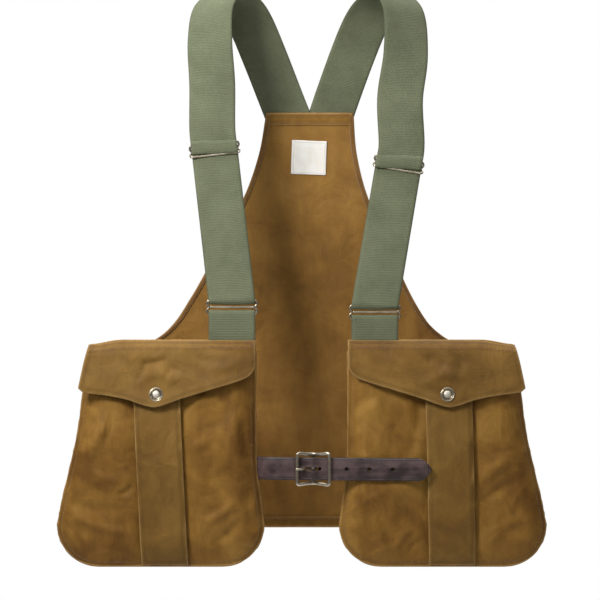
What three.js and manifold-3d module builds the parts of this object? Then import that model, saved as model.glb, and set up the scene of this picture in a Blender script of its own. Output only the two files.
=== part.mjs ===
// A strap fishing vest: a curved back panel whose wings come forward to two flapped pockets,
// two webbing shoulder straps with sliders and rings, and a leather front strap with a buckle.
// Millimetres. +Z is up, -Y is the front, x = 0 lies between the pockets, and z = 0 is the top
// of the straps, where they rest on the shoulders.
import * as THREE from "three";
import { mergeVertices } from "three/addons/utils/BufferGeometryUtils.js";
import Module from "manifold-3d";

const wasm = await Module();
wasm.setup();

// ---- driving dimensions ----
const GAP = 0.3; // between pieces that touch
const CLOTH = 1.6; // a layer of waxed canvas with its seams
const TOP = -134; // top edge of the back panel
const BOTTOM = -621; // bottom edge of the back panel
const PANEL_Y = 60; // middle of the flat part of the back panel
const FLAT_HALF = 110; // the back panel is flat this far each side
const POCKET_TOP = -399;
const POCKET_BOTTOM = -652;
const POCKET_BACK_Y = -58; // middle of the layer behind the pocket
const WEB_WIDTH = 50.8;
const WEB = 2; // webbing thickness
const WIRE = 1.2; // radius of the slider and ring wire
const BAR_PITCH = 7; // from the middle bar of a slider or ring to its outer bars
const LOOP = 2.9; // mid radius of webbing turned round a bar
const RETURN_DEPTH = 2 * LOOP; // the returning web lies this far behind the running web
const FLAP_Y = -63.4; // the flap's hinge line
const BILLET_Z = -542.4; // middle height of the leather strap
const BILLET_WIDTH = 25.4;
const BILLET = 2.6; // leather thickness

const SIDES = [
  { name: "left", sign: -1, ring: [-78.4, -362], slider: [-99, -32, -183], bandDrift: -9 },
  { name: "right", sign: 1, ring: [82, -367.5], slider: [110, -32, -200], bandDrift: 5 },
];

// ---- materials ----
const finish = (color, roughness, metalness) => () =>
  new THREE.MeshStandardMaterial({ color, roughness, metalness });
const canvas = finish(0x805a2a, 0.78, 0);
const darkCanvas = finish(0x4a2e12, 0.8, 0);
const labelCloth = finish(0xeae4d8, 0.85, 0);
const webbing = finish(0x757d61, 0.85, 0);
const leather = finish(0x463838, 0.5, 0);
const nickel = finish(0xa09478, 0.35, 1);

const vest = new THREE.Group();

function add(name, geometry, material, parent = vest) {
  const mesh = new THREE.Mesh(geometry, material());
  mesh.name = name;
  parent.add(mesh);
  return mesh;
}

// ---- shape helpers ----
const vec = (x, y, z) => new THREE.Vector3(x, y, z);
const mix = THREE.MathUtils.lerp;
const clamp = THREE.MathUtils.clamp;

// A smooth function through [position, value] pairs in rising order of position.
function through(pairs) {
  const slope = (i) => {
    const a = pairs[Math.max(i - 1, 0)];
    const b = pairs[Math.min(i + 1, pairs.length - 1)];
    return (b[1] - a[1]) / (b[0] - a[0]);
  };
  return (at) => {
    const p = clamp(at, pairs[0][0], pairs[pairs.length - 1][0]);
    let i = 0;
    while (i < pairs.length - 2 && p > pairs[i + 1][0]) i++;
    const span = pairs[i + 1][0] - pairs[i][0];
    const t = (p - pairs[i][0]) / span;
    const rise = t * t * (3 - 2 * t);
    const lead = t * (1 - t) * (1 - t) * span * slope(i);
    const trail = t * t * (1 - t) * span * slope(i + 1);
    return mix(pairs[i][1], pairs[i + 1][1], rise) + lead - trail;
  };
}

// A box of nu by nv cells with each corner put where place(u, v, w) says. u and v run from 0
// to 1 over the sheet and w from -0.5 to 0.5 through it, towards the side it faces.
function bentBox(nu, nv, place) {
  const geometry = new THREE.BoxGeometry(1, 1, 1, nu, nv, 1);
  const position = geometry.getAttribute("position");
  for (let i = 0; i < position.count; i++) {
    const p = place(position.getX(i) + 0.5, position.getY(i) + 0.5, position.getZ(i));
    position.setXYZ(i, p.x, p.y, p.z);
  }
  geometry.computeVertexNormals();
  return geometry;
}

// A flat strap along a path of [x, y, z, width direction] stops.
function strap(stops, width, thickness, steps) {
  const curve = new THREE.CatmullRomCurve3(
    stops.map(([x, y, z]) => vec(x, y, z)),
    false,
    "centripetal",
  );
  return bentBox(1, steps, (u, v, w) => {
    const place = v * (stops.length - 1);
    const from = Math.min(Math.floor(place), stops.length - 2);
    const across = stops[from][3].clone().lerp(stops[from + 1][3], place - from);
    const along = curve.getTangent(v);
    across.addScaledVector(along, -across.dot(along)).normalize();
    const facing = across.clone().cross(along);
    return curve
      .getPoint(v)
      .addScaledVector(across, (u - 0.5) * width)
      .addScaledVector(facing, w * thickness);
  });
}

// A closed wire: a torus whose rings are set on a closed curve that runs anticlockwise about +Z.
function wireLoop(points, radius, sides, steps) {
  const curve = new THREE.CatmullRomCurve3(points, true, "centripetal");
  const geometry = new THREE.TorusGeometry(1, 0.5, sides, steps);
  const position = geometry.getAttribute("position");
  for (let i = 0; i < position.count; i++) {
    const [x, y, z] = [position.getX(i), position.getY(i), position.getZ(i)];
    const turn = (Math.atan2(y, x) / (2 * Math.PI) + 1) % 1;
    const along = curve.getTangent(turn);
    const outward = along.clone().cross(vec(0, 0, 1)).normalize();
    const side = outward.clone().cross(along);
    const p = curve
      .getPoint(turn)
      .addScaledVector(outward, ((Math.hypot(x, y) - 1) / 0.5) * radius)
      .addScaledVector(side, (z / 0.5) * radius);
    position.setXYZ(i, p.x, p.y, p.z);
  }
  geometry.computeVertexNormals();
  return geometry;
}

function solid(geometry) {
  const bare = geometry.clone();
  bare.deleteAttribute("normal");
  bare.deleteAttribute("uv");
  const merged = mergeVertices(bare, 1e-3);
  return new wasm.Manifold(
    new wasm.Mesh({
      numProp: 3,
      vertProperties: merged.attributes.position.array,
      triVerts: new Uint32Array(merged.index.array),
    }),
  );
}

function fromSolid(made) {
  const mesh = made.getMesh();
  const geometry = new THREE.BufferGeometry();
  geometry.setAttribute("position", new THREE.BufferAttribute(mesh.vertProperties, 3));
  geometry.setIndex(new THREE.BufferAttribute(mesh.triVerts, 1));
  geometry.computeVertexNormals();
  return geometry;
}

// ---- pocket outline: inner and outer edge, as distances from x = 0, by height ----
const CORNER = 46; // radius of the pocket's bottom corners
const CORNER_TOP = POCKET_BOTTOM + CORNER;
const innerEdge = through([
  [CORNER_TOP, 43],
  [-580, 46.5],
  [-540, 51.5],
  [POCKET_TOP, 52],
]);
const outerEdge = through([
  [CORNER_TOP, 273.5],
  [-580, 268.5],
  [-540, 259],
  [-503, 251],
  [-459, 245],
  [POCKET_TOP, 236.5],
]);

function pocketSpan(z) {
  const below = clamp(CORNER_TOP - z, 0, CORNER);
  const cut = CORNER - Math.sqrt(CORNER * CORNER - below * below);
  return [innerEdge(z) + cut, outerEdge(z) - cut];
}

// ---- back panel ----
const WING_END_Y = -56.9; // where the wings meet the back of the pockets
const panelCentre = through([
  [-354, 0],
  [-235, 4.8],
  [TOP, 9.6],
]);
const panelHalf = through([
  [BOTTOM, 272],
  [-606, 272],
  [-580, 268],
  [-540, 258.5],
  [-503, 250.5],
  [-445, 240],
  [-420, 207],
  [POCKET_TOP, 169],
  [-382, 150],
  [-354, 132],
  [-325, 116.5],
  [-235, 73.9],
  [-183, 58],
  [TOP, 51.6],
]);

// A point of the back panel: across runs from -1 to 1, depth is measured towards the front.
function onPanel(across, z, depth) {
  const half = panelHalf(z) - CLOTH / 2;
  const reach = Math.max(outerEdge(z) - CLOTH / 2, half) - FLAT_HALF;
  const forward = PANEL_Y - WING_END_Y;
  const mean = (reach + forward) / 2;
  const turnMax = half > FLAT_HALF ? Math.asin(Math.min((half - FLAT_HALF) / reach, 1)) : 0;
  const length = Math.min(half, FLAT_HALF) + mean * turnMax;
  const s = Math.abs(across) * length;
  const side = Math.sign(across);
  if (s <= FLAT_HALF) return vec(panelCentre(z) + side * s, PANEL_Y - depth, z);
  const turn = (s - FLAT_HALF) / mean;
  const normal = vec(forward * Math.sin(turn), reach * Math.cos(turn), 0).normalize();
  return vec(
    panelCentre(z) + side * (FLAT_HALF + reach * Math.sin(turn) - depth * normal.x),
    WING_END_Y + forward * Math.cos(turn) - depth * normal.y,
    z,
  );
}

add(
  "back_panel",
  bentBox(18, 16, (u, v, w) => onPanel(2 * u - 1, mix(BOTTOM, TOP, v), w * CLOTH)),
  canvas,
);

// Narrow tape along each armhole edge, on the inner face.
const TAPE_WIDTH = 8;
const TAPE = 1;
const TAPE_LIFT = 1.3; // off the panel, clear of its facets
for (const { name, sign } of SIDES) {
  const [low, high] = [-376, TOP - 4];
  add(
    `armhole_binding_${name}`,
    bentBox(1, 18, (u, v, w) => {
      const z = mix(low, high, v);
      const half = panelHalf(z);
      const inset = 1 - (TAPE_WIDTH * (sign > 0 ? 1 - u : u)) / half;
      return onPanel(sign * inset, z, CLOTH / 2 + TAPE_LIFT + (w + 0.5) * TAPE);
    }),
    darkCanvas,
  );
}

// The bib's facing covers the sewn ends of the straps at the back.
add(
  "bib_facing",
  bentBox(2, 1, (u, v, w) =>
    vec(panelCentre(TOP) + mix(-48, 48, u), PANEL_Y + 7.3 - w * CLOTH, mix(-168, TOP - 2, v)),
  ),
  canvas,
);

const LABEL_SIZE = [40.5, 39.5, 0.6];
const label = add("label", new THREE.BoxGeometry(...LABEL_SIZE), labelCloth);
label.position.set(8.5, PANEL_Y - CLOTH / 2 - GAP - LABEL_SIZE[2] / 2, -186.3);
label.rotation.set(Math.PI / 2, 0, THREE.MathUtils.degToRad(2));

// A shallow open-topped pouch on the back of the panel.
const POUCH = { half: 104, bottom: -612, top: -380, depth: 12, edge: 16 };
const swell = (distance, over) => Math.sin((Math.PI / 2) * clamp(distance / over, 0, 1));
// Columns drawn towards the two edges, where a swelling sheet turns.
const gathered = (u) => u - (0.7 * Math.sin(2 * Math.PI * u)) / (2 * Math.PI);

add(
  "rear_pouch",
  bentBox(8, 8, (u, v, w) => {
    const x = mix(-POUCH.half, POUCH.half, gathered(u));
    const z = mix(POUCH.bottom, POUCH.top, v ** 1.5);
    const rise = swell(POUCH.half - Math.abs(x), POUCH.edge) * swell(z - POUCH.bottom, POUCH.edge);
    return vec(x, PANEL_Y + CLOTH + GAP + POUCH.depth * rise - w * CLOTH, z);
  }),
  canvas,
);

// ---- pockets ----
const MOUTH = -414; // top edge of the pocket front
const POCKET_EDGE = 20; // the front rises to its full depth over this width
const FRONT_EDGE_Y = POCKET_BACK_Y - CLOTH - GAP;
const pocketDepth = (z) => 8 + 8 * THREE.MathUtils.smoothstep(MOUTH - z, 0, 90);

function pocketRise(x, z) {
  const [inner, outer] = pocketSpan(z);
  const fromSide = Math.min(x - inner, outer - x);
  return pocketDepth(z) * swell(fromSide, POCKET_EDGE) * swell(z - POCKET_BOTTOM, POCKET_EDGE);
}

// A sheet over the pocket outline: forward(x, z) is how far it stands in front of y.
function pocketSheet(sign, top, y, cells, forward) {
  return bentBox(cells, 12, (u, v, w) => {
    const z = mix(POCKET_BOTTOM, top, v ** 1.5);
    const [inner, outer] = pocketSpan(z);
    const x = mix(inner, outer, gathered(sign > 0 ? u : 1 - u));
    return vec(sign * x, y - forward(x, z) - w * CLOTH, z);
  });
}

// The pleat down the pocket's middle.
const PLEAT_WIDTH = 51;
const PLEAT_TOP = -432;
const PLEAT_BOTTOM = -631;
const PLEAT_X = 163;
const PLEAT_LIFT = 1; // off the pocket front, clear of its facets
const pleatCentre = (z, drift) => PLEAT_X + drift * ((PLEAT_TOP - z) / (PLEAT_TOP - PLEAT_BOTTOM));
const pleatY = (z) => FRONT_EDGE_Y - pocketRise(PLEAT_X, z) - CLOTH - PLEAT_LIFT;

// ---- flap: lower edge by distance from x = 0 ----
const flapLow = through([
  [53, -429],
  [61, -439],
  [104, -453],
  [134, -463.5],
  [150, -470],
  [162, -472.5],
  [175, -470],
  [192, -464.5],
  [218, -459.5],
  [243, -456],
  [249, -452],
]);
const FLAP_LEAN = 0.17; // the flap runs forward this much for each unit down
const flapForward = (drop) => 9 * (1 - Math.exp(-drop / 5)) + FLAP_LEAN * drop;

function flapSheet(sign) {
  const SPREAD = 11; // the outer edge runs out this far by the lower corner
  const DROP = 57;
  return bentBox(12, 7, (u, v, w) => {
    const t = sign > 0 ? u : 1 - u;
    const z = mix(flapLow(mix(53, 249, t)), POCKET_TOP, v ** 0.8);
    const drop = POCKET_TOP - z;
    const x = mix(52 + drop / DROP, 238 + (SPREAD * drop) / DROP, t);
    return vec(sign * x, FLAP_Y - flapForward(drop) - w * CLOTH, z);
  });
}

const lathe = (profile, segments) =>
  new THREE.LatheGeometry(
    profile.map(([r, h]) => new THREE.Vector2(r, h)),
    segments,
  );

// Snap pieces face the front: their lathe axis (+Y) is turned to -Y.
const SNAP_X = 162;
const SNAP_Z = -459;
const SNAP_SEGMENTS = 16;
const snapStud = lathe([[0, 0], [6, 0], [6, 1], [2.5, 1.6], [2.5, 4.2], [0, 4.2]], SNAP_SEGMENTS);
const snapSocket = lathe([[3.5, 0], [6.5, 0], [6.5, 2.4], [3.5, 2.4], [3.5, 0]], SNAP_SEGMENTS);
const snapCap = lathe(
  [[0, 0], [8.1, 0], [8.1, 0.8], [7.2, 1.5], [5.6, 1.3], [4.6, 2.2], [2.4, 2.9], [0, 3.1]],
  SNAP_SEGMENTS,
);

for (const { name, sign, bandDrift } of SIDES) {
  add(`pocket_back_${name}`, pocketSheet(sign, POCKET_TOP, POCKET_BACK_Y, 2, () => 0), canvas);
  add(`pocket_front_${name}`, pocketSheet(sign, MOUTH, FRONT_EDGE_Y, 10, pocketRise), canvas);
  add(
    `pocket_pleat_${name}`,
    bentBox(2, 8, (u, v, w) => {
      const z = mix(PLEAT_BOTTOM, PLEAT_TOP, v);
      const offset = PLEAT_WIDTH * (u - 0.5);
      const x = pleatCentre(z, bandDrift) + sign * offset;
      return vec(sign * x, pleatY(z) - w * CLOTH, z);
    }),
    canvas,
  );

  const stud = add(`snap_stud_${name}`, snapStud, nickel);
  stud.position.set(sign * SNAP_X, pleatY(SNAP_Z) - CLOTH / 2 - 4 * GAP, SNAP_Z);
  stud.rotation.x = Math.PI;

  add(`flap_${name}`, flapSheet(sign), canvas);
  const lean = Math.PI - Math.atan(FLAP_LEAN);
  const flapY = FLAP_Y - flapForward(POCKET_TOP - SNAP_Z);
  const cap = add(`snap_cap_${name}`, snapCap, nickel);
  cap.position.set(sign * SNAP_X, flapY - CLOTH / 2 - GAP - 0.1, SNAP_Z);
  cap.rotation.x = lean;
  const socket = add(`snap_socket_${name}`, snapSocket, nickel);
  socket.position.set(sign * SNAP_X, flapY + CLOTH / 2 + GAP + 2.7, SNAP_Z - 0.4);
  socket.rotation.x = lean;
}

// ---- sliders and rings ----
// Half of the loop's outline: [x, y, depth index], depth index 0 bottom bar, 1 middle, 2 top.
const FRAME_HALF = 28;
const PINCH = 25.8; // the sides come in to here at the middle bar
function barFrame(depths) {
  const [low, middle, high] = depths;
  const outline = [
    [PINCH, 0, middle],
    [FRAME_HALF, 3.6, mix(middle, high, 0.5)],
    [FRAME_HALF - 1.4, BAR_PITCH, high],
    [FRAME_HALF - 9, BAR_PITCH, high],
    [-FRAME_HALF + 9, BAR_PITCH, high],
    [-FRAME_HALF + 1.4, BAR_PITCH, high],
    [-FRAME_HALF, 3.6, mix(middle, high, 0.5)],
    [-PINCH, 0, middle],
    [-FRAME_HALF, -3.6, mix(middle, low, 0.5)],
    [-FRAME_HALF + 1.4, -BAR_PITCH, low],
    [-FRAME_HALF + 9, -BAR_PITCH, low],
    [FRAME_HALF - 9, -BAR_PITCH, low],
    [FRAME_HALF - 1.4, -BAR_PITCH, low],
    [FRAME_HALF, -3.6, mix(middle, low, 0.5)],
  ];
  return wireLoop(outline.map(([x, y, z]) => vec(x, y, z)), WIRE, 6, 28);
}

function middleBar() {
  const bar = new THREE.CylinderGeometry(WIRE, WIRE, 2 * (PINCH - WIRE - GAP), 10);
  return bar.rotateZ(Math.PI / 2);
}

const ACROSS = vec(1, 0, 0);
const turned = (count, at) => Array.from({ length: count + 1 }, (_, i) => at(i / count));

// The straps above the straight front run: [x, y, z, width direction].
const OVER_SHOULDER = {
  left: [
    [-102, -22, -108, vec(1, 0, 0)],
    [-105, -14, -56, vec(0.98, -0.2, 0)],
    [-101, -2, -17, vec(0.9, -0.43, 0)],
    [-86, 14, -1, vec(0.8, -0.6, 0)],
    [-70, 30, -13, vec(0.82, -0.5, 0.28)],
    [-58, 40, -35, vec(0.9, -0.15, 0.4)],
    [-43, 50, -70, vec(0.92, 0, 0.38)],
    [-20, 62.3, -128, vec(0.92, 0, 0.38)],
    [-8, 62.3, -158, vec(0.92, 0, 0.38)],
  ],
  right: [
    [112, -22, -125, vec(1, 0, 0)],
    [119, -14, -72, vec(0.98, 0.2, 0)],
    [116, -2, -19, vec(0.9, 0.43, 0)],
    [101, 14, -1, vec(0.8, 0.6, 0)],
    [85, 31, -13, vec(0.82, 0.5, -0.25)],
    [73, 42, -35, vec(0.92, 0.15, -0.32)],
    [60, 52, -66, vec(0.95, 0, -0.3)],
    [37.5, 64.8, -128, vec(0.95, 0, -0.3)],
    [28, 64.8, -158, vec(0.95, 0, -0.3)],
  ],
};

for (const { name, ring, slider } of SIDES) {
  const [ringX, ringZ] = ring;
  const topBar = ringZ + BAR_PITCH;
  const foot = vec(ringX, POCKET_BACK_Y - LOOP, topBar);
  const head = vec(...slider);
  const up = head.clone().sub(foot).normalize();
  const across = ACROSS.clone().addScaledVector(up, -up.x).normalize();
  const front = across.clone().cross(up);
  const straight = [0.05, 0.35, 0.7, 1, 1.12].map((t) => [
    ...foot.clone().lerp(head, t).toArray(),
    ACROSS,
  ]);
  const hairpin = turned(4, (t) => {
    const angle = Math.PI * (1 - t);
    return [
      ringX,
      POCKET_BACK_Y - LOOP * Math.cos(angle),
      topBar - LOOP * Math.sin(angle),
      ACROSS,
    ];
  });
  add(
    `shoulder_web_${name}`,
    strap([...hairpin, ...straight, ...OVER_SHOULDER[name]], WEB_WIDTH, WEB, 54),
    webbing,
  );

  // The web's free length comes back up behind the running web to the slider.
  const LOWER = 6; // above the hairpin's end
  const UPPER = 5; // below the slider's middle bar
  const run = foot.distanceTo(head);
  const back = front.clone().multiplyScalar(-RETURN_DEPTH);
  const stops = turned(3, (t) => [
    ...foot
      .clone()
      .add(back)
      .addScaledVector(up, mix(LOWER, run - UPPER, t))
      .toArray(),
    ACROSS,
  ]);
  add(`return_web_${name}`, strap(stops, WEB_WIDTH, WEB, 6), webbing);

  // The anchor web turns round the ring's bottom bar and holds the pocket's top edge in its two ends.
  const ANCHOR_END = -413;
  const lowBar = ringZ - BAR_PITCH;
  const anchorTurn = turned(6, (t) => {
    const angle = Math.PI * t;
    return [
      ringX,
      POCKET_BACK_Y + LOOP * Math.cos(angle),
      lowBar + LOOP * Math.sin(angle),
      ACROSS,
    ];
  });
  const legs = (y) => [-0.4, -0.9].map((t) => [ringX, y, lowBar + t * (lowBar - ANCHOR_END), ACROSS]);
  add(
    `anchor_web_${name}`,
    strap(
      [
        [ringX, POCKET_BACK_Y + LOOP, ANCHOR_END, ACROSS],
        ...legs(POCKET_BACK_Y + LOOP).reverse(),
        ...anchorTurn,
        ...legs(POCKET_BACK_Y - LOOP),
        [ringX, POCKET_BACK_Y - LOOP, ANCHOR_END, ACROSS],
      ],
      WEB_WIDTH,
      WEB,
      30,
    ),
    webbing,
  );

  const ringGroup = new THREE.Group();
  ringGroup.position.set(ringX, POCKET_BACK_Y, ringZ);
  ringGroup.rotation.x = Math.PI / 2;
  vest.add(ringGroup);
  add(`ring_frame_${name}`, barFrame([0, 0, 0]), nickel, ringGroup);
  add(`ring_bar_${name}`, middleBar(), nickel, ringGroup);

  const sliderGroup = new THREE.Group();
  sliderGroup.position.copy(head);
  sliderGroup.quaternion.setFromRotationMatrix(new THREE.Matrix4().makeBasis(across, up, front));
  vest.add(sliderGroup);
  const OUTER_DEPTH = 2.6; // the outer bars clear the running web, one behind it and one before it
  add(
    `slider_frame_${name}`,
    barFrame([OUTER_DEPTH, -RETURN_DEPTH, -OUTER_DEPTH]),
    nickel,
    sliderGroup,
  );
  add(`slider_bar_${name}`, middleBar(), nickel, sliderGroup).position.z = -RETURN_DEPTH;
  const TAIL = -17;
  const END_WIDTH = 47.4;
  const tail = (z) => [TAIL, TAIL * 0.4].map((y) => [0, y, z, ACROSS]);
  const turn = turned(6, (t) => [
    0,
    LOOP * Math.sin(Math.PI * t),
    -RETURN_DEPTH - LOOP * Math.cos(Math.PI * t),
    ACROSS,
  ]);
  add(
    `slider_web_end_${name}`,
    strap(
      [
        ...tail(-RETURN_DEPTH - LOOP),
        ...turn,
        ...tail(-RETURN_DEPTH + LOOP).reverse(),
      ],
      END_WIDTH,
      WEB,
      20,
    ),
    webbing,
    sliderGroup,
  );
}

// ---- leather front strap and buckle ----
const BILLET_START = [-49, -66.3];
const BILLET_TIP = [144, -86.2];
const billetSlope = (BILLET_TIP[1] - BILLET_START[1]) / (BILLET_TIP[0] - BILLET_START[0]);
const billetY = (x) => BILLET_START[1] + billetSlope * (x - BILLET_START[0]);
const BAR_X = 12.8; // the buckle's centre bar
const BAR_Y = -65.3;
const BAR_RADIUS = 2;
const BUCKLE_HALF = 18; // from the centre bar to each side bar
const BUCKLE_HEIGHT = 16.2; // from the middle to the top and bottom sides
const ROCK_ROOM = 1.3; // between the leather and the side bars

function billetGeometry() {
  const length = Math.hypot(BILLET_TIP[0] - BILLET_START[0], BILLET_TIP[1] - BILLET_START[1]);
  const half = BILLET_WIDTH / 2;
  const POINT = 15; // length of the pointed tip
  const shape = new THREE.Shape();
  shape.moveTo(0, -half);
  shape.lineTo(length - POINT, -half);
  shape.quadraticCurveTo(length - 4, -half * 0.7, length, 0);
  shape.quadraticCurveTo(length - 4, half * 0.7, length - POINT, half);
  shape.lineTo(0, half);
  shape.closePath();
  const HOLES = [50, 75, 101]; // free holes, by x
  const HOLE_RADIUS = 2;
  for (const x of HOLES) {
    const hole = new THREE.Path();
    hole.absarc(x - BILLET_START[0], 0, HOLE_RADIUS, 0, 2 * Math.PI, true);
    shape.holes.push(hole);
  }
  const SLOT = [-3, 20]; // the worn hole that the prong is through
  const SLOT_RADIUS = 2.4;
  const slot = new THREE.Path();
  slot.absarc(SLOT[1] - BILLET_START[0], 0, SLOT_RADIUS, Math.PI / 2, -Math.PI / 2, true);
  slot.absarc(SLOT[0] - BILLET_START[0], 0, SLOT_RADIUS, -Math.PI / 2, -1.5 * Math.PI, true);
  slot.closePath();
  shape.holes.push(slot);
  return new THREE.ExtrudeGeometry(shape, { depth: BILLET, bevelEnabled: false, curveSegments: 6 });
}

const billetGroup = new THREE.Group();
billetGroup.position.set(BILLET_START[0], BILLET_START[1], BILLET_Z);
billetGroup.rotation.z = Math.atan(billetSlope);
vest.add(billetGroup);
const billet = add("billet_strap", billetGeometry(), leather, billetGroup);
billet.position.y = BILLET / 2;
billet.rotation.x = Math.PI / 2;

// The chape: a short strap from the right pocket's edge, turned round the centre bar.
const CHAPE = 2;
const CHAPE_LOOP = BAR_RADIUS + GAP + CHAPE / 2;
const CHAPE_END = 50;
const CHAPE_WIDTH = 22;
const UPWARD = vec(0, 0, 1);
const chapeStops = [
  [CHAPE_END, -60.6, BILLET_Z, UPWARD],
  [38, BAR_Y + CHAPE_LOOP + 0.6, BILLET_Z, UPWARD],
  [24, BAR_Y + CHAPE_LOOP, BILLET_Z, UPWARD],
  ...turned(6, (t) => [
    BAR_X - CHAPE_LOOP * Math.sin(Math.PI * t),
    BAR_Y + CHAPE_LOOP * Math.cos(Math.PI * t),
    BILLET_Z,
    UPWARD,
  ]),
  [24, BAR_Y - CHAPE_LOOP, BILLET_Z, UPWARD],
  [38, BAR_Y - CHAPE_LOOP + 0.2, BILLET_Z, UPWARD],
  [CHAPE_END, -67, BILLET_Z, UPWARD],
];
const prongWindow = new THREE.BoxGeometry(20, 22, 6);
prongWindow.translate(BAR_X, BAR_Y, BILLET_Z);
const chapeStrip = strap(chapeStops, CHAPE_WIDTH, CHAPE, 28);
add("chape_strap", fromSolid(solid(chapeStrip).subtract(solid(prongWindow))), leather);

// The buckle: a waisted frame whose centre bar lies behind the leather.
const buckle = new THREE.Group();
buckle.position.set(BAR_X, BAR_Y, BILLET_Z);
buckle.rotation.x = Math.PI / 2;
vest.add(buckle);
const sideDepth = (x) => BAR_Y - (billetY(BAR_X + x) - BILLET / 2 - ROCK_ROOM - BAR_RADIUS);
const leftDepth = sideDepth(-BUCKLE_HALF);
const rightDepth = sideDepth(BUCKLE_HALF);
const WAIST = 14.9; // the top and bottom sides dip to here at the centre bar
const WAIST_DEPTH = 3.5;

function buckleGeometry() {
  const corner = BUCKLE_HEIGHT - 1;
  const outline = [
    [BUCKLE_HALF, 0, rightDepth],
    [BUCKLE_HALF, corner - 4, rightDepth],
    [BUCKLE_HALF - 2.5, corner + 0.6, rightDepth],
    [8, BUCKLE_HEIGHT, 0.55 * rightDepth],
    [0, WAIST + 1.2, WAIST_DEPTH],
    [-8, BUCKLE_HEIGHT, 0.55 * leftDepth],
    [-BUCKLE_HALF + 2.5, corner + 0.6, leftDepth],
    [-BUCKLE_HALF, corner - 4, leftDepth],
  ];
  const lower = [
    [-BUCKLE_HALF, 0, leftDepth],
    [-BUCKLE_HALF, -corner + 4, leftDepth],
    [-BUCKLE_HALF + 2.5, -corner - 0.6, leftDepth],
    [-8, -BUCKLE_HEIGHT, 0.55 * leftDepth],
    [0, -WAIST - 1.2, WAIST_DEPTH],
    [8, -BUCKLE_HEIGHT, 0.55 * rightDepth],
    [BUCKLE_HALF - 2.5, -corner - 0.6, rightDepth],
    [BUCKLE_HALF, -corner + 4, rightDepth],
  ];
  const frame = wireLoop([...outline, ...lower].map(([x, y, z]) => vec(x, y, z)), BAR_RADIUS, 8, 32);
  let made = solid(frame).add(solid(new THREE.CylinderGeometry(BAR_RADIUS, BAR_RADIUS, 33, 10)));
  for (const end of [-1, 1]) {
    const post = new THREE.CylinderGeometry(BAR_RADIUS, BAR_RADIUS, WAIST_DEPTH + 1.4, 8);
    post.rotateX(Math.PI / 2);
    post.translate(0, end * (WAIST + 1.2), WAIST_DEPTH / 2);
    made = made.add(solid(post));
  }
  return fromSolid(made);
}
add("buckle_frame", buckleGeometry(), nickel, buckle);

// The prong: an eye round the centre bar and a shaft through the leather to the left bar.
const PRONG = 1.4;
function prongGeometry() {
  const eye = new THREE.TorusGeometry(BAR_RADIUS + GAP + PRONG, PRONG, 6, 14);
  eye.rotateX(Math.PI / 2);
  const tipDepth = leftDepth + BAR_RADIUS + PRONG + GAP;
  const path = new THREE.CatmullRomCurve3([
    vec(-2.6, 0, 2.6),
    vec(-6, 0, 5.4),
    vec(-13, 0, tipDepth - 2.2),
    vec(-BUCKLE_HALF, 0, tipDepth),
    vec(-BUCKLE_HALF - 1.8, 0, tipDepth - 0.3),
  ]);
  const section = new THREE.Shape();
  section.absarc(0, 0, PRONG, 0, 2 * Math.PI, false);
  const shaft = new THREE.ExtrudeGeometry(section, {
    steps: 10,
    extrudePath: path,
    curveSegments: 2,
    bevelEnabled: false,
  });
  return fromSolid(solid(eye).add(solid(shaft)));
}
add("buckle_prong", prongGeometry(), nickel, buckle);

export default vest;
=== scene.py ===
"""The looks of a strap fishing vest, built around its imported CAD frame.

Shapes are worked out in millimetres in the row frame (+Z up, -Y the front) and become metres
where a mesh is made.
"""

import math

import bmesh
import bpy
import numpy as np
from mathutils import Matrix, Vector


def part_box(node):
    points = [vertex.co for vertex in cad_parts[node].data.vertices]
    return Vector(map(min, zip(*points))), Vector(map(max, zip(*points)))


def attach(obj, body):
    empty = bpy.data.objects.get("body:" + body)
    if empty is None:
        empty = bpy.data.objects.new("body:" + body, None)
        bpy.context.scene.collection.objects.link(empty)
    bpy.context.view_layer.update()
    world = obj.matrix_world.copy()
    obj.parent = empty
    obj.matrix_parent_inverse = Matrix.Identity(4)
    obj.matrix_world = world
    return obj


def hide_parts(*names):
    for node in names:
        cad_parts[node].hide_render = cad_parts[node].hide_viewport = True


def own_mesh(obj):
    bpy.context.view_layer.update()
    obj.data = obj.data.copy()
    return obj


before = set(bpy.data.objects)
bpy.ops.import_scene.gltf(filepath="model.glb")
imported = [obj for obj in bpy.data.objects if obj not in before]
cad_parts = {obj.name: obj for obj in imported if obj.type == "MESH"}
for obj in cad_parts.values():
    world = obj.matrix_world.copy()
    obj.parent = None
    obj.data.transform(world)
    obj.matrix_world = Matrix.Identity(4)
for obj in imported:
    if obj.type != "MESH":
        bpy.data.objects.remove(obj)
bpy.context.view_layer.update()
MM = 0.001
SEED = 7

# ---- driving dimensions, as in the CAD model ----
CLOTH = 1.6
TOP, BOTTOM = -134, -621
PANEL_Y = 60
FLAT_HALF = 110
WING_END_Y = -56.9
POCKET_TOP, POCKET_BOTTOM = -399, -652
POCKET_BACK_Y = -58
FRONT_EDGE_Y = POCKET_BACK_Y - CLOTH - 0.3
MOUTH = -414
CORNER = 46
CORNER_TOP = POCKET_BOTTOM + CORNER
WEB_WIDTH, WEB = 50.8, 2.0
WIRE = 1.2
BAR_PITCH = 7
LOOP = 2.9
RETURN_DEPTH = 2 * LOOP
FLAP_Y = -63.4
FLAP_LEAN = 0.17
BILLET_Z = -542.4
BILLET_WIDTH, BILLET = 25.4, 2.6
SNAP_X, SNAP_Z = 162, -459
PLEAT_X, PLEAT_TOP, PLEAT_FOOT, PLEAT_WIDTH = 163, -432, -631, 51
SIDES = {
    "left": {"sign": -1, "ring": (-78.4, -362), "slider": (-99, -32, -183), "drift": -9},
    "right": {"sign": 1, "ring": (82, -367.5), "slider": (110, -32, -200), "drift": 5},
}


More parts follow.
